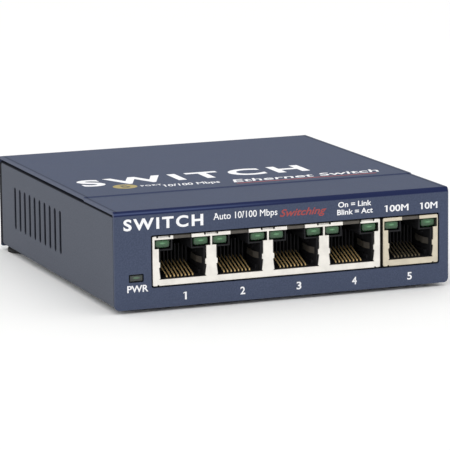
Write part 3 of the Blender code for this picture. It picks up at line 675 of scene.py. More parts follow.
def lens(name, base, glow=0.12, highlight_share=0.3):
    """Moulded green lens with painted light: a faint glow though the light is off, brighter in its
    upper middle, painted shade round its edges, and a painted highlight as a small pale spot.
    """
    # The emission is a painted glow; the light is not lit.
    look = Finish(name, Coat_Weight=0.6, Coat_Roughness=0.08, Emission_Strength=glow)
    across, _, up = look.axes(look.place(own=True))
    # Painted shade round the edges, and a painted highlight in a small spot.
    rim_shade = look.between(abs(across), 0.45, 1.0) + look.between(abs(up), 0.3, 1.0) * 0.9
    core = look.between(across * across * 2.2 + (up - 0.1) * (up - 0.1) * 7.0, 0.5, 0.0)
    # Painted light: brighter towards the top.
    tone = look.mix(look.between(up, -1.0, 0.6), shade(base, 0.6), shade(base, 1.2))
    tone = look.mix(look.between(rim_shade, 0.0, 1.4) * 0.85, tone, shade(base, 0.22))
    tone = look.mix(core * highlight_share, tone, linear(150, 214, 160))
    return look.done(tone, look.noise(0.6, 2.0), 0.01, Emission_Color=tone,
                     Roughness=0.22 + 0.1 * look.noise(0.4, 2.0))


def led(name, base):
    """Cast green epoxy: cloudy, a little paler towards its top."""
    look = Finish(name, Coat_Weight=0.4, Coat_Roughness=0.1)
    cloud = look.noise(1.1, 3.0)
    tone = look.mix(cloud, shade(base, 0.7), shade(base, 1.3))
    pale = look.between(look.frame_place()[2], 7.0, 10.0) * 0.3
    return look.done(look.mix(pale, tone, linear(150, 200, 156)), cloud, 0.01,
                     Roughness=0.25 + 0.15 * cloud)


def ink(name, base):
    """Screen print: slightly uneven cover with a fine mesh grain."""
    look = Finish(name)
    fine = look.noise(0.18, 2.0)
    tone = look.mix(look.between(fine, 0.55, 0.8) * 0.35, base, shade(base, 0.82))
    return look.done(tone, fine, 0.004, Roughness=0.5 + 0.15 * fine)


def rubber(name, base):
    """Moulded rubber with dust in its grain."""
    look = Finish(name)
    fine, dust = look.noise(0.3, 4.0), look.noise(1.7, 4.0)
    tone = look.mix(look.between(dust, 0.5, 0.85) * 0.3, base, linear(88, 86, 82))
    return look.done(tone, fine, 0.03, Roughness=0.75 + 0.2 * fine)


def laminate(name, base):
    """Solder mask over glass cloth: traces show as lighter runs, plated pads as bright dots, and
    painted shade darkens it near its front edge, under the jacks.
    """
    look = Finish(name, Coat_Weight=0.3, Coat_Roughness=0.2)
    runs = look.node("ShaderNodeTexBrick", {"offset": 0.37, "offset_frequency": 3},
                     {"Vector": look.place(), "Scale": 420.0, "Mortar Size": 0.09,
                      "Mortar Smooth": 0.2, "Brick Width": 3.4, "Row Height": 0.55}, "Fac")
    dots = look.node("ShaderNodeTexVoronoi", None,
                     {"Vector": look.place(), "Scale": 260.0, "Randomness": 0.85}, "Distance")
    pads = look.between(dots, 0.16, 0.12)
    tone = look.mix(look.noise(5.0, 3.0), shade(base, 0.8), shade(base, 1.2))
    tone = look.mix(runs * 0.6, tone, shade(base, 2.0))
    tone = look.mix(pads, tone, linear(196, 190, 170))
    # Painted shade near the board's front edge, in the gap under the jacks.
    tone = look.mix(look.between(look.frame_place()[1], 6.0, 4.0), tone, linear(6, 8, 8))
    return look.done(tone, runs + pads, 0.03, Metallic=pads * 0.8,
                     Roughness=0.35 + 0.15 * look.noise(0.6, 2.0))


def label_print(name):
    """Silver paper with a printed frame and rows of plain grey bars instead of words."""
    look = Finish(name)
    across, depth, _ = look.frame_place()
    middle, half = middle_of("rating_label"), np.ptp(limits("rating_label"), axis=0) / 2
    from_side, from_end = half[0] - abs(across - middle[0]), half[1] - abs(depth - middle[1])

    def inside(margin, blur=0.05):
        return (look.between(from_side, margin, margin + blur)
                * look.between(from_end, margin, margin + blur))

    rows = look.node("ShaderNodeTexWave", {"bands_direction": "Y", "wave_profile": "SIN"},
                     {"Vector": look.place(), "Scale": 130.0}, "Fac")
    words = look.between(look.noise(1.5, 1.0, (1.0, 0.12, 1.0)), 0.45, 0.5)
    bars = look.between(rows, 0.6, 0.72) * words * inside(3.0, 0.1)
    tone = look.mix(look.noise(2.0, 3.0), linear(212, 212, 208), linear(226, 226, 222))
    tone = look.mix((inside(0.8) - inside(1.3)) * 0.9, tone, linear(40, 44, 60))
    tone = look.mix(bars * 0.85, tone, linear(60, 62, 70))
    return look.done(tone, look.noise(0.5, 3.0), 0.006,
                     Roughness=0.42 + 0.15 * look.noise(0.7, 2.0))


def can(name, sleeve, node):
    """Capacitor: printed sleeve with a pale stripe down its front, bare pressed metal on top."""
    look = Finish(name)
    across, depth, height = look.frame_place()
    middle, (high_x, _, top) = middle_of(node), limits(node)[1]
    radius, ahead = high_x - middle[0], middle[1] - depth
    crown = look.between(height, top - 0.4, top - 0.3)
    stripe = (look.between(abs(across - middle[0]), 1.1, 1.0)
              * look.between(ahead, radius * 0.3, radius * 0.5)
              * look.between(ahead, radius * 1.2, radius * 1.05))
    tone = look.mix(look.noise(0.8, 3.0), shade(sleeve, 0.8), shade(sleeve, 1.2))
    tone = look.mix(stripe, tone, linear(170, 174, 180))
    tone = look.mix(crown, tone, linear(196, 198, 200))
    return look.done(tone, look.noise(0.5, 3.0), 0.01, Metallic=crown * 0.9,
                     Roughness=0.4 + 0.1 * look.noise(0.4, 2.0))


# Each finish: its maker and its values. A word among them is one of the panel's colours.
LOOKS = {
    "cover_paint": (paint, "cover", "bend"),
    "tray_paint": (paint, "tray"),
    "tin_block": (tin, "plate"),
    "tin_single": (tin, "plate_single"),
    "jack_plastic": (plastic, "plastic"),
    "switch_plastic": (plastic, linear(34, 34, 36), 0.35, 0.38),
    "button_plastic": (plastic, linear(44, 44, 47), 0.2, 0.34),
    "chip_resin": (plastic, linear(30, 30, 32), 0.15, 0.5),
    "transformer_resin": (plastic, linear(18, 18, 19), 0.3, 0.3),
    "ferrite": (plastic, linear(52, 48, 46), 0.4, 0.6),
    "wire_gold": (contact, "wire", linear(104, 82, 48)),
    "wire_dull": (contact, linear(128, 116, 92), linear(60, 54, 42)),
    "leaf_steel": (metal, linear(90, 85, 78), 0.45, 0.3, 0.2),
    # The locks' tin is a greyer copy of the plate, as painted shade in their recesses.
    "tin_locks": (metal, linear(206, 203, 198), 0.4, 0.3, 0.3),
    "pin_nickel": (metal, linear(214, 206, 184), 0.2),
    "zinc": (metal, "zinc", 0.3, 0.25),
    "spring_steel": (metal, linear(170, 172, 176), 0.25, 0.2),
    "anodised": (metal, linear(48, 49, 52), 0.4, 0.4, 1.0, (1.0, 0.15, 1.0)),
    "lens_green": (lens, "lens"),
    "lens_power": (lens, linear(30, 38, 33), 0.02, 0.18),
    "led_epoxy": (led, "lens"),
    "ink_white": (ink, "ink"),
    "ink_red": (ink, "ink_red"),
    "ink_gold": (ink, "badge"),
    "ink_dark": (ink, linear(60, 62, 58)),
    "foot_rubber": (rubber, "rubber"),
    "board_laminate": (laminate, "laminate"),
    "label_paper": (label_print,),
}


def look_of(name):
    """The finish of that name, made once."""
    if name + "_finish" in bpy.data.materials:
        return bpy.data.materials[name + "_finish"]
    maker, *values = LOOKS[name]
    tones = bpy.context.scene.switch_colours
    return maker(name, *[list(getattr(tones, value)) if isinstance(value, str) else value
                         for value in values])


def dress(node, look):
    """Give a frame node that stays its finish."""
    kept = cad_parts[node]
    for index in range(len(kept.material_slots)):
        kept.material_slots[index].material = look


# ------------------------------------------------------------------ case

# Millimetres in the frame, depth from the front panel, here and in the groups below.
STEP_BEND = 0.5
STEP_CLEAR = 0.3
BEND_MARGIN = 0.1
OPENING_CORNER = 0.5
WINDOW, WINDOW_CORNER = ((-43.15, -39.05), (8.1, 10.25)), 0.25
BUTTON_HOLE, SCREW_HOLE = 3.1, 1.8
KEYHOLES = ((-26.0, 58.0), (26.0, 58.0))
KEY_HEAD, KEY_NECK, KEY_RUN = 3.6, 1.7, 6.0
STANDOFF_BORE = 1.6
TABS, TAB_HALF, TAB_TOP = (-42.2, 42.2), 3.0, 23.5
FOOT_EDGE, FOOT_BORE = 0.4, 0.4
FOOT_CUP = ((0.4, 0.33), (0.52, 0.04), (0.6, 0.0))
SIDES = ("left", "right")
CORNERS = [(row, side) for row in ("front", "rear") for side in SIDES]
BOARD_SCREWS = ["board_screw_%s_%s" % corner for corner in CORNERS]
FEET = ["foot_%s_%s" % corner for corner in CORNERS]


def folded(name, corners, size, ends, axis, *cuts):
    """A sheet bent along a path of corners between two ends, cut, its cut edges rounded."""
    path = bent(corners, mm(size.bend), margin=BEND_MARGIN)
    made = new_object(name, sheet_mesh(name, path, *ends, axis))
    thicken(made, mm(size.sheet))
    cut(made, *cuts)
    soften(made, mm(size.edge))
    settle(made)
    return made


class SWITCH_OT_cover(bpy.types.Operator):
    """Add the cover: front panel, top and rear panel bent from one sheet"""
    bl_idname = "switch.cover"
    bl_label = "Cover"

    def execute(self, context):
        size = context.scene.switch_case
        low, high = limits("cover")
        sheet, drop = mm(size.sheet), mm(size.drop)
        rear, top = high[1] - PRINT, high[2] - PRINT
        step, half_run = mm(size.drop_depth), mm(size.drop_run) / 2
        corners = [(PRINT, low[2]), (PRINT, top - drop), (step - half_run, top - drop, STEP_BEND),
                   (step + half_run, top, STEP_BEND), (rear, top), (rear, low[2])]
        ahead, behind = (-1.0, 2 * sheet), (rear - 2 * sheet, rear + 1.0)
        made = folded("cover_sheet", corners, size, (low[0], high[0]), 0,
                      self.openings(size, ahead, behind), self.corner_tools(size, ahead, behind))
        finish_piece(made, "cover_paint", ["cover"])
        return {"FINISHED"}

    def openings(self, size, ahead, behind):
        """The jacks' opening and the light's window; behind, power, button and screw holes."""
        gap = mm(size.clearance)
        (left, _, foot), (_, _, head) = limits("jack_block_shield")
        right = limits("jack_5_shield")[1][0]
        power = limits("power_jack_body") + [[-gap], [gap]]
        bodies = [
            block((left - gap, right + gap), ahead, (foot - gap, head + gap), OPENING_CORNER),
            block(WINDOW[0], ahead, WINDOW[1], WINDOW_CORNER),
            block(power[:, 0], behind, power[:, 2], OPENING_CORNER),
            rod("uplink_button", BUTTON_HOLE, behind, 1, 40),
            *(rod("cover_screw_" + side, SCREW_HOLE, behind, 1) for side in SIDES),
        ]
        return bodies

    def corner_tools(self, size, ahead, behind):
        """What rounds the lower corners of both panels: outside a quarter circle."""
        foot, half = limits("cover")[0][2], limits("cover")[1][0]
        bodies = []
        for radius, ends in ((mm(size.corner), ahead), (mm(size.rear_corner), behind)):
            outline = np.concatenate([
                arc((half - radius, foot + radius), radius, -1.0, 0.0, 8),
                [(half + 1, foot + radius), (half + 1, foot - 1), (half - radius, foot - 1)]])
            bodies += [prism(outline * (flip, 1), *ends) for flip in (1, -1)]
        return bodies


class SWITCH_OT_tray(bpy.types.Operator):
    """Add the tray: floor and vented side walls, with standoffs and rear tabs"""
    bl_idname = "switch.tray"
    bl_label = "Tray"

    def execute(self, context):
        size = context.scene.switch_case
        (_, front, floor), (half, rear, _) = limits("base")
        sheet, flange = mm(size.sheet), mm(size.flange)
        top = limits("cover")[1][2] - sheet - mm(size.seam)
        corners = [(half - flange, top), (half, top), (half, floor), (-half, floor), (-half, top),
                   (flange - half, top)]
        inner, run = half - mm(size.bend), (0.0, mm(size.drop_depth) + STEP_CLEAR)
        lower_walls = [block(ends, run, (top - mm(size.drop), top + 1))
                       for ends in ((inner, half + 1), (-half - 1, -inner))]
        flange_ends = [block((-inner, inner), run, (top - 2 * sheet, top + 1))]
        made = folded("base_tray", corners, size, (front, rear), 1, lower_walls, flange_ends,
                      self.vents(size, half, sheet), self.floor_holes(floor, sheet))
        add_bodies(made, self.raised(rear, floor, sheet))
        finish_piece(made, "tray_paint", ["base"])
        return {"FINISHED"}

    def vents(self, size, half, sheet):
        width, low, high = mm(size.vent_width) / 2, mm(size.vent_low), mm(size.vent_high)
        middles = mm(size.vent_first) + mm(size.vent_pitch) * np.arange(size.vents)
        return [prism(slot_outline(width, low, high, middle), *ends, axis=0)
                for middle in middles
                for ends in ((half - 2 * sheet, half + 1), (-half - 1, 2 * sheet - half))]

    def floor_holes(self, floor, sheet):
        """Keyholes for wall screws, and holes under the board screws."""
        through = (floor - 1, floor + 2 * sheet)
        opening = np.arcsin(KEY_NECK / KEY_HEAD) / (np.pi / 2)
        outline = np.concatenate([arc((0.0, 0.0), KEY_HEAD, 1 + opening, 5 - opening, 24),
                                  arc((0.0, KEY_RUN), KEY_NECK, 0.0, 2.0, 8)])
        return [*(prism(outline + place, *through, axis=2) for place in KEYHOLES),
                *(rod(node, STANDOFF_BORE, through) for node in BOARD_SCREWS)]

    def raised(self, rear, floor, sheet):
        """Standoffs drawn up from the floor, and tabs behind the rear panel."""
        inside, top = floor + sheet, limits("circuit_board")[0][2] - 0.3
        profile = [(STANDOFF_BORE, inside), (3.9, inside - 0.05), (3.3, inside + 0.5),
                   (3.0, top - 0.2), (2.8, top), (STANDOFF_BORE, top)]
        return [*(turned(profile, middle_of(node), sides=32) for node in BOARD_SCREWS),
                *(block(around(tab, TAB_HALF), (rear - sheet, rear - 0.01),
                        (floor + sheet / 2, TAB_TOP), 0.5, 0.1) for tab in TABS)]


class SWITCH_OT_feet(bpy.types.Operator):
    """Add the four rubber feet"""
    bl_idname = "switch.feet"
    bl_label = "Feet"

    def execute(self, context):
        for name in FEET:
            width, _, height = np.ptp(limits(name), axis=0)
            radius = width / 2
            profile = np.concatenate([
                [(FOOT_BORE, 0.35)], np.array(FOOT_CUP) * (radius, 1.0),
                arc((radius - FOOT_EDGE, FOOT_EDGE), FOOT_EDGE, -1.0, 0.0),
                [(radius - 0.12, height), (FOOT_BORE, height)]])
            profile += (0.0, limits(name)[0][2])
            piece(name + "_pad", [turned(profile, middle_of(name), sides=48)], "foot_rubber",
                  replaces=[name])
        return {"FINISHED"}


# ------------------------------------------------------------------ jacks

BUMP, BUMP_LEVELS = 0.32, (11.35, 11.55, 12.75, 12.95)
NICK = 0.35
LOCK_WIDTH, LOCK_GAP, LOCK_EDGE, LOCK_DEPTH = 3.4, 0.28, 0.35, (0.3, 0.7)
# The locks at the shell's two ends: which end, how far from it, and how wide.
END_LOCKS = ((0, 3.0, 3.3), (1, -3.75, 3.7))
BAR_CLEAR = 0.12
FOOT_NOTCH, FOOT_NOTCH_IN = 0.25, 1.5
LEAF_PATH, LEAF_BEND = [(0.45, 6.5), (1.2, 6.3), (4.6, 5.45), (10.0, 5.85)], 0.9
LEAF_HALF, LEAF_THICK, LEAF_LEVEL = 0.85, 0.07, 12.15
TONGUE_DEPTH, TONGUE_FOOT = (0.5, 0.9), 18.7
SIDE_SPRINGS, SIDE_SPRING_LENGTH, SIDE_SPRING_LEVELS = (5.0, 9.5), 2.4, (10.5, 14.5)
CHANNEL_TOP = 18.6
LENS_CLEAR = 0.3
COMB_START, RIB_FOOT = 8.6, 8.1
# Ribs along each cavity's side walls: how far in, half their width, start, levels and corner.
WALL_RIBS = ((0.25, 0.3, 3.0, (8.1, 9.6), 0.15), (0.12, 0.2, 6.0, (13.7, 14.4), 0.1))
HAIRPIN, HAIRPIN_R = (2.75, 8.42), 0.31
WIRE_FLOOR, WIRE_END, WIRE_RISE = 8.11, 10.55, 2.95
COMB_DEPTH, COMB_TOP = (11.2, 12.5), 10.2
POWER_LENS = ((-42.85, -39.35), (8.4, 9.95))
POWER_FLANGE = (1.15, 1.9)
PORTS = range(1, 6)


def port_middle(number):
    return middle_of("port_%d_contacts" % number)[0]


def mouth_outline(size, middle):
    """One plug opening seen from the front: its right half, then the same mirrored to the left."""
    mouth, lens, latch = mm(size.mouth), mm(size.lens_half), mm(size.latch)
    lens_low, lens_high = mm(size.lens_low), mm(size.lens_high)
    nick = NICK * (1 - np.cos(np.linspace(0.0, np.pi / 2, 5)))
    half = np.concatenate([
        np.stack([mouth - nick, mm(size.mouth_low) + nick], -1),
        np.stack([mouth - BUMP * np.array([0, 1, 1, 0]), BUMP_LEVELS], -1),
        [(mouth, lens_low), (lens, lens_low), (lens, lens_high), (latch, lens_high),
         (latch, mm(size.latch_end))],
    ])
    return np.concatenate([half, half[::-1] * (-1, 1)]) + (middle, 0.0)


def make_shell(size, node, name, numbers, look):
    """The folded tin shell round a jack, its plug openings, folded locks and grounding leaves."""
    low, high = limits(node)
    plate, above = mm(size.plate), high[2] + 1
    hollow = block((low[0] + plate, high[0] - plate), (low[1] + plate, high[1] + 1),
                   (low[2] - 1, high[2] - plate))
    middles = [port_middle(number) for number in numbers]
    mouths = [prism(mouth_outline(size, middle), -1.0, 3 * plate) for middle in middles]
    places = [((first + second) / 2, LOCK_WIDTH) for first, second in zip(middles, middles[1:])]
    if places:
        places += [((low, high)[end][0] + shift, width) for end, shift, width in END_LOCKS]
    bar = mm(size.latch_high) + BAR_CLEAR
    notches, recesses, locks = [], [], []
    for place, width in places:
        notches += [block(around(edge, LOCK_GAP), (-1.0, 1.4), (bar, above), 0.12)
                    for edge in around(place, width / 2)]
        inner = width / 2 - LOCK_EDGE
        recesses.append(block(around(place, inner), (-1.0, plate + 0.05),
                              (bar + BAR_CLEAR, above), 0.05))
        locks.append(block(around(place, inner - 0.04), LOCK_DEPTH,
                           (bar - 0.3, high[2] - 0.05), 0.08, 0.08))
    notches += [block(around(x, FOOT_NOTCH), (-1.0, 0.8), (low[2] - 1, low[2] + 0.3))
                for x in (low[0] + FOOT_NOTCH_IN, high[0] - FOOT_NOTCH_IN)]
    leaf, strip = bent(LEAF_PATH, LEAF_BEND, 5), rounded((LEAF_HALF, LEAF_THICK), 0.06, 1)
    leaves, reach = [], mm(size.latch) - 0.05
    for middle in middles:
        for side in (1, -1):
            swept = carried(leaf * (1, side) + (0.0, middle), strip, [LEAF_LEVEL], axis=2)
            leaves += [(points[:, [1, 0, 2]], faces) for points, faces in swept]
        leaves.append(block(around(middle, reach), TONGUE_DEPTH,
                            (TONGUE_FOOT, high[2] - 0.12), 0.1, 0.08))
    piece(name.replace("shell", "leaves"), leaves, "leaf_steel")
    if locks:
        piece(name.replace("shell", "locks"), locks, "tin_locks")
    springs = [block(around(x, 0.25), (start, start + SIDE_SPRING_LENGTH), SIDE_SPRING_LEVELS,
                     0.2, 0.1, axis=0)
               for x in (low[0] + 0.2, high[0] - 0.2) for start in SIDE_SPRINGS]
    piece(name, [block(*zip(low, high), 0.4, 0.22)], look,
          [[hollow], mouths, notches, recesses], edge=0.05, extras=springs, replaces=[node])


def make_core(size, node, name, numbers):
    """The black moulding behind a shell: cavities, latch channels, light pockets and comb ribs."""
    low, high = limits(node)
    cavity, top = mm(size.cavity), mm(size.cavity_high)
    latch, depth = mm(size.latch), mm(size.cavity_depth)
    half = np.array([(cavity, mm(size.mouth_low)), (cavity, top), (latch, top),
                     (latch, CHANNEL_TOP)])
    outline = np.concatenate([half, half[::-1] * (-1, 1)])
    cavities, pockets, ribs = [], [], []
    for number in numbers:
        middle = port_middle(number)
        cavities.append(prism(outline + (middle, 0.0), 0.0, depth))
        for word in SIDES:
            (left, _, foot), (right, rear, _) = limits("port_%d_light_%s" % (number, word))
            pockets.append(block((left - LENS_CLEAR, right + LENS_CLEAR), (0.0, rear + 0.4),
                                 (foot - LENS_CLEAR, high[2] + 1)))
        ribs += [block(around(x, 0.15), (COMB_START, depth + 0.2), (RIB_FOOT, top + 0.2), edge=0.08)
                 for x in middle + mm(size.wire_pitch) * (np.arange(9) - 4)]
        ribs += [block(around(middle + side * (cavity - inset), rib), (start, depth), levels,
                       corner, 0.1)
                 for side in (-1, 1) for inset, rib, start, levels, corner in WALL_RIBS]
    piece(name, [block(*zip(low, high), 0.3, 0.15)], "jack_plastic",
          [cavities, pockets], edge=0.07, extras=ribs, replaces=[node])


def wire_path():
    """Side view of a contact wire: along the floor, round a small hairpin and up to the rear."""
    hairpin = arc(HAIRPIN, HAIRPIN_R, 3.0, 1.26, 10)
    floor = np.stack([np.linspace(11.5, 3.6, 6), np.full(6, WIRE_FLOOR)], -1)
    share = np.linspace(0.08, 1.0, 7)[:, None]
    rise = hairpin[-1] + share * (WIRE_END - hairpin[-1][0], WIRE_RISE)
    return np.concatenate([floor, hairpin, rise])


class SWITCH_OT_shells(bpy.types.Operator):
    """Add the two folded metal shells of the jacks"""
    bl_idname = "switch.shells"
    bl_label = "Jack shells"

    def execute(self, context):
        size = context.scene.switch_jack
        make_shell(size, "jack_block_shield", "block_shell", PORTS[:4], "tin_block")
        make_shell(size, "jack_5_shield", "single_shell", PORTS[4:], "tin_single")
        return {"FINISHED"}


class SWITCH_OT_cores(bpy.types.Operator):
    """Add the black mouldings of the jacks"""
    bl_idname = "switch.cores"
    bl_label = "Jack mouldings"

    def execute(self, context):
        size = context.scene.switch_jack
        make_core(size, "jack_block_housing", "block_core", PORTS[:4])
        make_core(size, "jack_5_housing", "single_core", PORTS[4:])
        return {"FINISHED"}


class SWITCH_OT_contacts(bpy.types.Operator):
    """Add the eight sprung contact wires of each port and the comb that carries them"""
    bl_idname = "switch.contacts"
    bl_label = "Contact wires"

    def execute(self, context):
        size = context.scene.switch_jack
        section = rounded((mm(size.wire) / 2, 0.15), 0.1, 2)
        for number in PORTS:
            node = "port_%d_contacts" % number
            low, high = limits(node)
            across = port_middle(number) + mm(size.wire_pitch) * (np.arange(8) - 3.5)
            piece("port_%d_wires" % number, carried(wire_path(), section, across),
                  "wire_gold" if number < 5 else "wire_dull", replaces=[node])
            piece("port_%d_comb" % number,
                  [block((low[0], high[0]), COMB_DEPTH, (low[2], COMB_TOP), 0.2, 0.15)],
                  "jack_plastic")
        return {"FINISHED"}


class SWITCH_OT_lights(bpy.types.Operator):
    """Add the lenses of the port lights and of the power light"""
    bl_idname = "switch.lights"
    bl_label = "Lights"

    def execute(self, context):
        for number in PORTS:
            for word in SIDES:
                node = "port_%d_light_%s" % (number, word)
                body = block(*zip(*limits(node)), 0.55, 0.5, steps=6)
                mark_own_place(piece("port_%d_lens_%s" % (number, word), [body], "lens_green",
                                     replaces=[node]))
        low, high = limits("power_light_pipe")
        front = block(POWER_LENS[0], (0.12, high[1]), POWER_LENS[1], 0.2, 0.18, steps=5)
        flange = block((low[0], high[0]), POWER_FLANGE, (low[2], high[2]), 0.3, 0.1)
        mark_own_place(piece("power_lens", [front], "lens_power",
                             extras=[flange], replaces=["power_light_pipe"]))
        dress("power_light", look_of("led_epoxy"))
        return {"FINISHED"}


# ------------------------------------------------------------------ print

BADGE_PLACE, BADGE_R = (-31.6, 35.2, 0.0), 3.3
STROKE = ((-2.6, 38.4), (27.3, 28.0))


def measured_letters(words, weight, lean, spacing):
    """Points and faces of flat filled letters at size 1, their baseline at zero."""
    curve = bpy.data.curves.new("letters", "FONT")
    curve.body = words
    curve.offset = weight
    curve.shear = lean
    curve.space_character = spacing
    curve.extrude = 0.5
    curve.resolution_u = 4
    holder = bpy.data.objects.new("letters", curve)
    bpy.context.scene.collection.objects.link(holder)
    bpy.context.view_layer.update()
    seen = holder.evaluated_get(bpy.context.evaluated_depsgraph_get())
    mesh = bpy.data.meshes.new_from_object(seen)
    points = np.empty(len(mesh.vertices) * 3)
    mesh.vertices.foreach_get("co", points)
    sizes = np.array([len(face.vertices) for face in mesh.polygons])
    starts = np.cumsum(sizes) - sizes
    corners = np.empty(sizes.sum(), int)
    mesh.loops.foreach_get("vertex_index", corners)
    faces = [corners[starts[sizes == count][:, None] + np.arange(count)]
             for count in np.unique(sizes)]
    bpy.data.objects.remove(holder, do_unlink=True)
    bpy.data.curves.remove(curve)
    bpy.data.meshes.remove(mesh)
    return points.reshape(-1, 3), faces


def up_to_each(words, sign):
    """The words up to and with each place where a sign stands."""
    return [words[:index + 1] for index, found in enumerate(words) if found == sign]


def flags(words, weight, lean, spacing):
    """The slanted stroke at the head of every 1: each starts from the top of the stem, which ends
    where the words up to and with that 1 end."""
    strokes = []
    stem = np.ptp(measured_letters("1", weight, 0.0, spacing)[0], axis=0)[0]
    outline = [(-0.97, 0.0), (-1.9, -0.07 / stem), (-1.9, -0.155 / stem), (-0.97, -0.095 / stem)]
    for start in up_to_each(words, "1"):
        points = measured_letters(start, weight, lean, spacing)[0]
        right = points[points[:, 1] > points[:, 1].max() - 0.001][:, 0].max()
        height = points[points[:, 0] > right - stem][:, 1].max()
        strokes.append(prism(np.array(outline) * stem + (right, height), -0.5, 0.5, axis=2))
    return strokes


def plain_m(words, body, weight, lean, spacing):
    """The letters with every M drawn anew: two stems, and a V whose point is at two fifths of
    their height."""
    points, faces = body
    stem, waist, head, half_width, drawn = 0.098, 0.531, 0.682, 0.318, []
    inside = stem + weight - half_width
    right_half = np.array([(half_width + weight, -weight), (half_width + weight, head + weight),
                           (-inside, head + weight), (0.0, 0.402 + weight)])
    inner = np.array([(-0.006, 0.267 - weight), (inside, waist - weight), (inside, -weight)])
    outline = np.concatenate([right_half, right_half[-2::-1] * (-1, 1), inner[::-1],
                              inner * (-1, 1)])
    for start in up_to_each(words, "M"):
        right = measured_letters(start, weight, 0.0, spacing)[0][:, 0].max()
        middle = right - half_width - weight
        upright = points[:, 0] - lean * points[:, 1]
        own = abs(upright - middle) < half_width + weight + 0.002
        faces = [group[~own[group].any(axis=1)] for group in faces]
        placed = outline + (middle, 0.0)
        drawn.append(prism(placed + placed[:, 1:] * (lean, 0.0), -0.5, 0.5, axis=2))
    kept = np.unique(np.concatenate([group.ravel() for group in faces]))
    return [(points[kept], [np.searchsorted(kept, group) for group in faces if len(group)]), *drawn]


def letters(words, left, width, base, cap, panel="front", weight=0.012, lean=0.0, spacing=1.0):
    """Flat print stretched to a width and a cap height, its face at the frame's limit."""
    whole = measured_letters(words, weight, lean, spacing)
    bodies = [*plain_m(words, whole, weight, lean, spacing), *flags(words, weight, lean, spacing)]
    low, high = whole[0].min(axis=0), whole[0].max(axis=0)
    tall = measured_letters("H", 0.0, 0.0, 1.0)[0][:, 1].max()
    rear, top = limits("cover")[1][1:]
    ground, placed = PRINT + PRINT_SUNK, []
    for points, faces in bodies:
        along = left + (points[:, 0] - low[0]) / (high[0] - low[0]) * width
        up = base + points[:, 1] / tall * cap
        proud = (points[:, 2] - low[2]) / (high[2] - low[2]) * ground
        places = {"front": (along, ground - proud, up),
                  "top": (along, up, top - ground + proud),
                  "rear": (-along, rear - ground + proud, up)}
        placed.append((np.stack(places[panel], -1), faces))
    return placed


class SWITCH_OT_print(bpy.types.Operator):
    """Add the plain printed words and numbers on the front, the top and the rear"""
    bl_idname = "switch.print"
    bl_label = "Print"

    def execute(self, context):
        words = context.scene.switch_words
        # The numbers of each line: left end, width, baseline and height of its capitals.
        front = [
            *letters(words.name, -44.4, 21.8, 21.8, 2.75, weight=0.03, spacing=1.25),
            *letters(words.rate, -19.8, 17.8, 22.85, 1.7, weight=0.008),
            *letters("On = Link", 15.2, 9.5, 23.5, 1.35, weight=0.02),
            *letters("Blink = Act", 14.9, 10.2, 21.5, 1.35, weight=0.02),
            *letters("100M", 28.9, 6.5, 21.35, 1.65, weight=0.02),
            *letters("10M", 39.1, 4.7, 21.35, 1.65, weight=0.02),
            *letters("PWR", -43.65, 5.75, 5.6, 1.7, weight=0.02),
        ]
        for number in PORTS:
            width = 0.5 if number == 1 else 1.35
            middle = port_middle(number) + (0.7 if number < 5 else -0.35)
            front += letters(str(number), middle - width / 2, width, 2.65, 1.9, weight=0.02)
        top = limits("cover")[1][2]
        badge = [(BADGE_R, top - 0.06), (BADGE_R, top - 0.008)]
        print_piece("front_print", "ink_white", front)
        print_piece("front_print_red", "ink_red",
                    letters("Switching", -1.35, 13.2, 22.3, 1.8, weight=0.02, lean=0.35))
        print_piece("top_print", "ink_white", [
            *letters(words.name, -41.5, 65.0, 39.3, 9.2, "top", weight=0.03, spacing=1.3),
            *letters("PORT", -27.4, 5.8, 33.4, 1.7, "top", spacing=1.2),
            *letters("10/100 Mbps", -21.8, 16.0, 30.6, 3.0, "top", lean=0.25),
            *letters(words.kind, -2.6, 43.0, 29.4, 4.0, "top", weight=0.01, lean=0.25),
        ])
        print_piece("top_print_red", "ink_red", [block(*STROKE, (top - 0.05, top), 0.3, axis=2)])
        print_piece("top_badge", "ink_gold", [turned(badge, BADGE_PLACE, sides=64)])
        print_piece("top_badge_number", "ink_dark",
                    letters("5", -32.9, 2.5, 33.4, 3.5, "top", weight=0.02))
        print_piece("rear_print", "ink_white", [
            *letters("12V DC", -26.6, 9.0, 20.3, 1.7, "rear"),
            *letters("5", -36.7, 1.4, 16.2, 1.8, "rear", weight=0.02),
            *letters("Normal / Uplink", -43.4, 14.8, 5.2, 1.4, "rear"),
        ])
        return {"FINISHED"}


# ------------------------------------------------------------------ rear fittings and screws

SOCKET_DEPTH, BORE_R, PASSAGE_R = 9.5, 3.1, 1.3
GROOVE_HALF, GROOVE_DROP = 1.2, 5.6
PIN_R, PIN_COLLAR, PIN_NOSE = 1.0, 2.0, 0.55
LEAF_LIFT, LEAF_SECTION = 0.18, (0.9, 0.17)
BUTTON_DEPTH, BUTTON_EDGE, STEM_HALF = 9.2, 0.5, 1.3
SCREW_DOME, THREAD, THREAD_DEPTH = 0.75, 0.25, 0.14
# Each screw: seat under the node's end, head's radius and height, shank's radius and reach.
COVER_SCREW = (1.3, 2.9, 1.3, 1.4, 4.0)
BOARD_SCREW = (1.5, 2.6, 1.5, 1.25, 4.9)


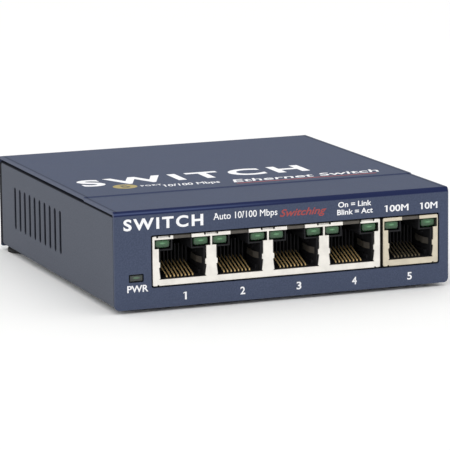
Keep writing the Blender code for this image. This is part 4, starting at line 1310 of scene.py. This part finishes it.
class SWITCH_OT_power_jack(bpy.types.Operator):
    """Add the DC power jack in the rear panel"""
    bl_idname = "switch.power_jack"
    bl_label = "Power jack"

    def execute(self, context):
        low, high = limits("power_jack_body")
        pin_start, pin_end = limits("power_jack_pin")[:, 1]
        middle = middle_of("power_jack_pin")
        x, z, rear = middle[0], middle[2], high[1]
        end, ahead = rear - SOCKET_DEPTH, low[1] - 1
        bore = [(BORE_R, end), (BORE_R, rear - 0.35), (3.5, rear + 0.05), (3.6, rear + 1)]
        cuts = [[turned(bore, middle, 1)],
                [rod("power_jack_pin", PASSAGE_R, (ahead, end + 1), 1)],
                [block(around(x, GROOVE_HALF), (ahead, rear - 2.0), (z - GROOVE_DROP, z))]]
        piece("power_socket", [block(*zip(low, high), 0.5, 0.3)], "switch_plastic",
              cuts, edge=0.06, replaces=["power_jack_body"])
        nose = arc((PIN_R - PIN_NOSE, pin_end - PIN_NOSE), PIN_NOSE)[:-1]
        profile = np.concatenate([
            [(PIN_COLLAR, pin_start), (PIN_COLLAR, pin_start + 1.0), (PIN_R, pin_start + 1.1)],
            nose,
            [(0.42, pin_end), (0.36, pin_end - 0.5)]])
        piece("power_pin", [turned(profile, middle, 1, 32)], "pin_nickel",
              replaces=["power_jack_pin"])
        (_, start, foot), (_, end, head) = limits("power_jack_spring")
        path = bent([(start, foot + LEAF_LIFT), (start + 5, foot + LEAF_LIFT),
                     (end - 2.2, head - 0.25), (end, head - 1.1)], 2.0, 8)
        piece("power_leaf", carried(path, rounded(LEAF_SECTION, 0.1, 2), [x]), "pin_nickel",
              replaces=["power_jack_spring"])
        return {"FINISHED"}


class SWITCH_OT_button(bpy.types.Operator):
    """Add the push button beside the power jack, and dress its switch"""
    bl_idname = "switch.button"
    bl_label = "Push button"

    def execute(self, context):
        low, high = limits("uplink_button")
        middle = middle_of("uplink_button")
        rear, radius = high[1], (high[0] - low[0]) / 2
        start = rear - BUTTON_DEPTH
        profile = np.concatenate([
            [(1.5, start), (radius - 0.3, start), (radius, start + 0.3)],
            arc((radius - BUTTON_EDGE, rear - BUTTON_EDGE), BUTTON_EDGE),
            [(1.6, rear - 0.03), (1.45, rear - 0.12), (0.3, rear - 0.2)]])
        stem = block(around(middle[0], STEM_HALF), (low[1], start + 0.4),
                     around(middle[2], STEM_HALF), 0.2, 0.15)
        piece("uplink_cap", [turned(profile, middle, 1, 48)], "button_plastic",
              extras=[stem], replaces=["uplink_button"], body="button")
        dress("uplink_switch_body", look_of("switch_plastic"))
        dress("uplink_spring", look_of("spring_steel"))
        return {"FINISHED"}


def make_screw(node, name, axis, under, head_radius, head, shank_radius, reach):
    """A pan-head screw with a tapered cross recess, its seat so far under the node's end."""
    middle, seat = middle_of(node), limits(node)[1][axis] - under
    thread = seat - 0.4 - np.arange(0.0, reach - 0.6, THREAD)
    ridges = np.stack([shank_radius - THREAD_DEPTH * (np.arange(len(thread)) % 2), thread], -1)
    profile = np.concatenate([
        [(shank_radius * 0.6, seat - reach)], ridges[::-1],
        [(shank_radius, seat), (head_radius, seat)],
        arc((head_radius - SCREW_DOME, seat + head - SCREW_DOME), SCREW_DOME, steps=6),
        [(0.4, seat + head)]])
    arm, width = head_radius * 0.55, head_radius * 0.13
    quarter = np.array([(arm, -width), (arm, width), (width, width)])
    cross = np.concatenate([quarter @ np.linalg.matrix_power(QUARTER_TURN, turns)
                            for turns in range(4)])
    rings = [np.insert(cross * share + np.delete(middle, axis), axis, level, axis=1)
             for share, level in ((0.45, seat + head - 1.0), (1.0, seat + head + 0.1))]
    piece(name, [turned(profile, middle, axis, 32)], "zinc",
          [[lofted(np.stack(rings))]], replaces=[node])


class SWITCH_OT_screws(bpy.types.Operator):
    """Add the two cover screws and the four board screws"""
    bl_idname = "switch.screws"
    bl_label = "Screws"

    def execute(self, context):
        for side in SIDES:
            make_screw("cover_screw_" + side, "rear_screw_" + side, 1, *COVER_SCREW)
            for row in ("front", "rear"):
                corner = "_%s_%s" % (row, side)
                make_screw("board_screw" + corner, "standoff_screw" + corner, 2, *BOARD_SCREW)
        return {"FINISHED"}


# ------------------------------------------------------------------ board

class SWITCH_OT_board(bpy.types.Operator):
    """Dress the circuit board, its parts and the underside label"""
    bl_idname = "switch.board"
    bl_label = "Board and label"

    def execute(self, context):
        plain = {
            "circuit_board": "board_laminate",
            "rating_label": "label_paper",
            "switch_chip": "chip_resin",
            "voltage_regulator": "chip_resin",
            "heat_sink": "anodised",
            "line_transformer_1_2": "transformer_resin",
            "line_transformer_3_4": "transformer_resin",
            "line_transformer_5": "transformer_resin",
            "crystal": "zinc",
            "power_inductor": "ferrite",
        }
        for node, look in plain.items():
            dress(node, look_of(look))
        for node in ("input_capacitor", "output_capacitor", "bulk_capacitor"):
            dress(node, can(node + "_sleeve", linear(30, 38, 62), node))
        return {"FINISHED"}


# ------------------------------------------------------------------ stage

# Places in metres and turns in radians. Each light: its place, what it points at, its width.
KEY_LIGHT = ((-0.25, -0.35, 1.1), (0.0, 0.0, 0.0), 0.9)
SIDE_LIGHT = ((-1.1, -0.25, 0.45), (0.0, 0.0, 0.02), 0.6)
CAMERA_PLACE = (-0.29469, -0.77640, 0.16346)
CAMERA_TURN, CAMERA_TILT, CAMERA_ROLL = -0.366, 0.181, -0.011
FLOOR_REACH, FLOOR_LINES = 4000.0, 9


class SWITCH_OT_stage(bpy.types.Operator):
    """Add the floor, the soft lights and the camera"""
    bl_idname = "switch.stage"
    bl_label = "Stage"

    def execute(self, context):
        stage = context.scene.switch_stage
        self.floor(stage)
        self.light("key_light", *KEY_LIGHT, stage.key)
        self.light("side_light", *SIDE_LIGHT, stage.side)
        world = bpy.data.worlds.new("surround")
        world.use_nodes = True
        surround = world.node_tree.nodes["Background"]
        surround.inputs["Color"].default_value = (1.0, 1.0, 1.0, 1.0)
        surround.inputs["Strength"].default_value = stage.sky
        context.scene.world = world
        view = bpy.data.cameras.new("camera")
        view.lens = stage.lens
        view.sensor_width = 36.0
        view.clip_start = 0.01
        camera = new_object("camera", view)
        camera.matrix_world = (Matrix.Translation(CAMERA_PLACE)
                               @ Matrix.Rotation(CAMERA_TURN, 4, "Z")
                               @ Matrix.Rotation(np.pi / 2 - CAMERA_TILT, 4, "X")
                               @ Matrix.Rotation(CAMERA_ROLL, 4, "Z"))
        context.scene.camera = camera
        context.scene.view_settings.view_transform = "Standard"
        return {"FINISHED"}

    def floor(self, stage):
        """A flat grid just under the feet."""
        line = np.linspace(-FLOOR_REACH, FLOOR_REACH, FLOOR_LINES)
        across, along = np.meshgrid(line, line)
        points = np.stack([across.ravel(), along.ravel(), np.zeros(across.size)], -1)
        floor = new_object("floor", to_mesh("floor", [(points, [grid(FLOOR_LINES, FLOOR_LINES)])]))
        look = Finish("floor_paper")
        tone = list(stage.floor)
        look.feed(Base_Color=look.mix(look.noise(40.0), tone, shade(tone, 0.985)), Roughness=0.9)
        floor.data.materials.append(look.material)

    def light(self, name, place, target, size, power):
        lamp = bpy.data.lights.new(name, "AREA")
        lamp.shape = "DISK"
        lamp.size = size
        lamp.energy = power
        made = new_object(name, lamp)
        aim = (Vector(place) - Vector(target)).to_track_quat("Z", "Y").to_matrix().to_4x4()
        made.matrix_world = Matrix.Translation(place) @ aim


# ------------------------------------------------------------------ panel and registration

PIECE_OPERATORS = (SWITCH_OT_stage, SWITCH_OT_cover, SWITCH_OT_tray, SWITCH_OT_feet,
                   SWITCH_OT_shells, SWITCH_OT_cores, SWITCH_OT_contacts, SWITCH_OT_lights,
                   SWITCH_OT_print, SWITCH_OT_power_jack, SWITCH_OT_button, SWITCH_OT_screws,
                   SWITCH_OT_board)
SETTINGS = {"switch_case": SwitchCase, "switch_jack": SwitchJack, "switch_colours": SwitchColours,
            "switch_stage": SwitchStage, "switch_words": SwitchWords}


class SWITCH_PT_pieces(bpy.types.Panel):
    """Lists the pieces of the switch and their settings"""
    bl_idname = "SWITCH_PT_pieces"
    bl_label = "Network Switch"
    bl_space_type = "VIEW_3D"
    bl_region_type = "UI"
    bl_category = "Switch"

    def draw(self, context):
        buttons = self.layout.column(align=True)
        for operator in PIECE_OPERATORS:
            buttons.operator(operator.bl_idname)
        for setting in SETTINGS:
            group = getattr(context.scene, setting)
            column = self.layout.column()
            for field in SETTINGS[setting].__annotations__:
                column.prop(group, field)


def register():
    for setting, group in SETTINGS.items():
        bpy.utils.register_class(group)
        setattr(bpy.types.Scene, setting, PointerProperty(type=group))
    for made in (*PIECE_OPERATORS, SWITCH_PT_pieces):
        bpy.utils.register_class(made)


def unregister():
    for made in (SWITCH_PT_pieces, *reversed(PIECE_OPERATORS)):
        bpy.utils.unregister_class(made)
    for setting, group in reversed(SETTINGS.items()):
        delattr(bpy.types.Scene, setting)
        bpy.utils.unregister_class(group)


def main():
    register()
    for operator in PIECE_OPERATORS:
        group, action = operator.bl_idname.split(".")
        getattr(getattr(bpy.ops, group), action)()


if __name__ == "__main__":
    main()
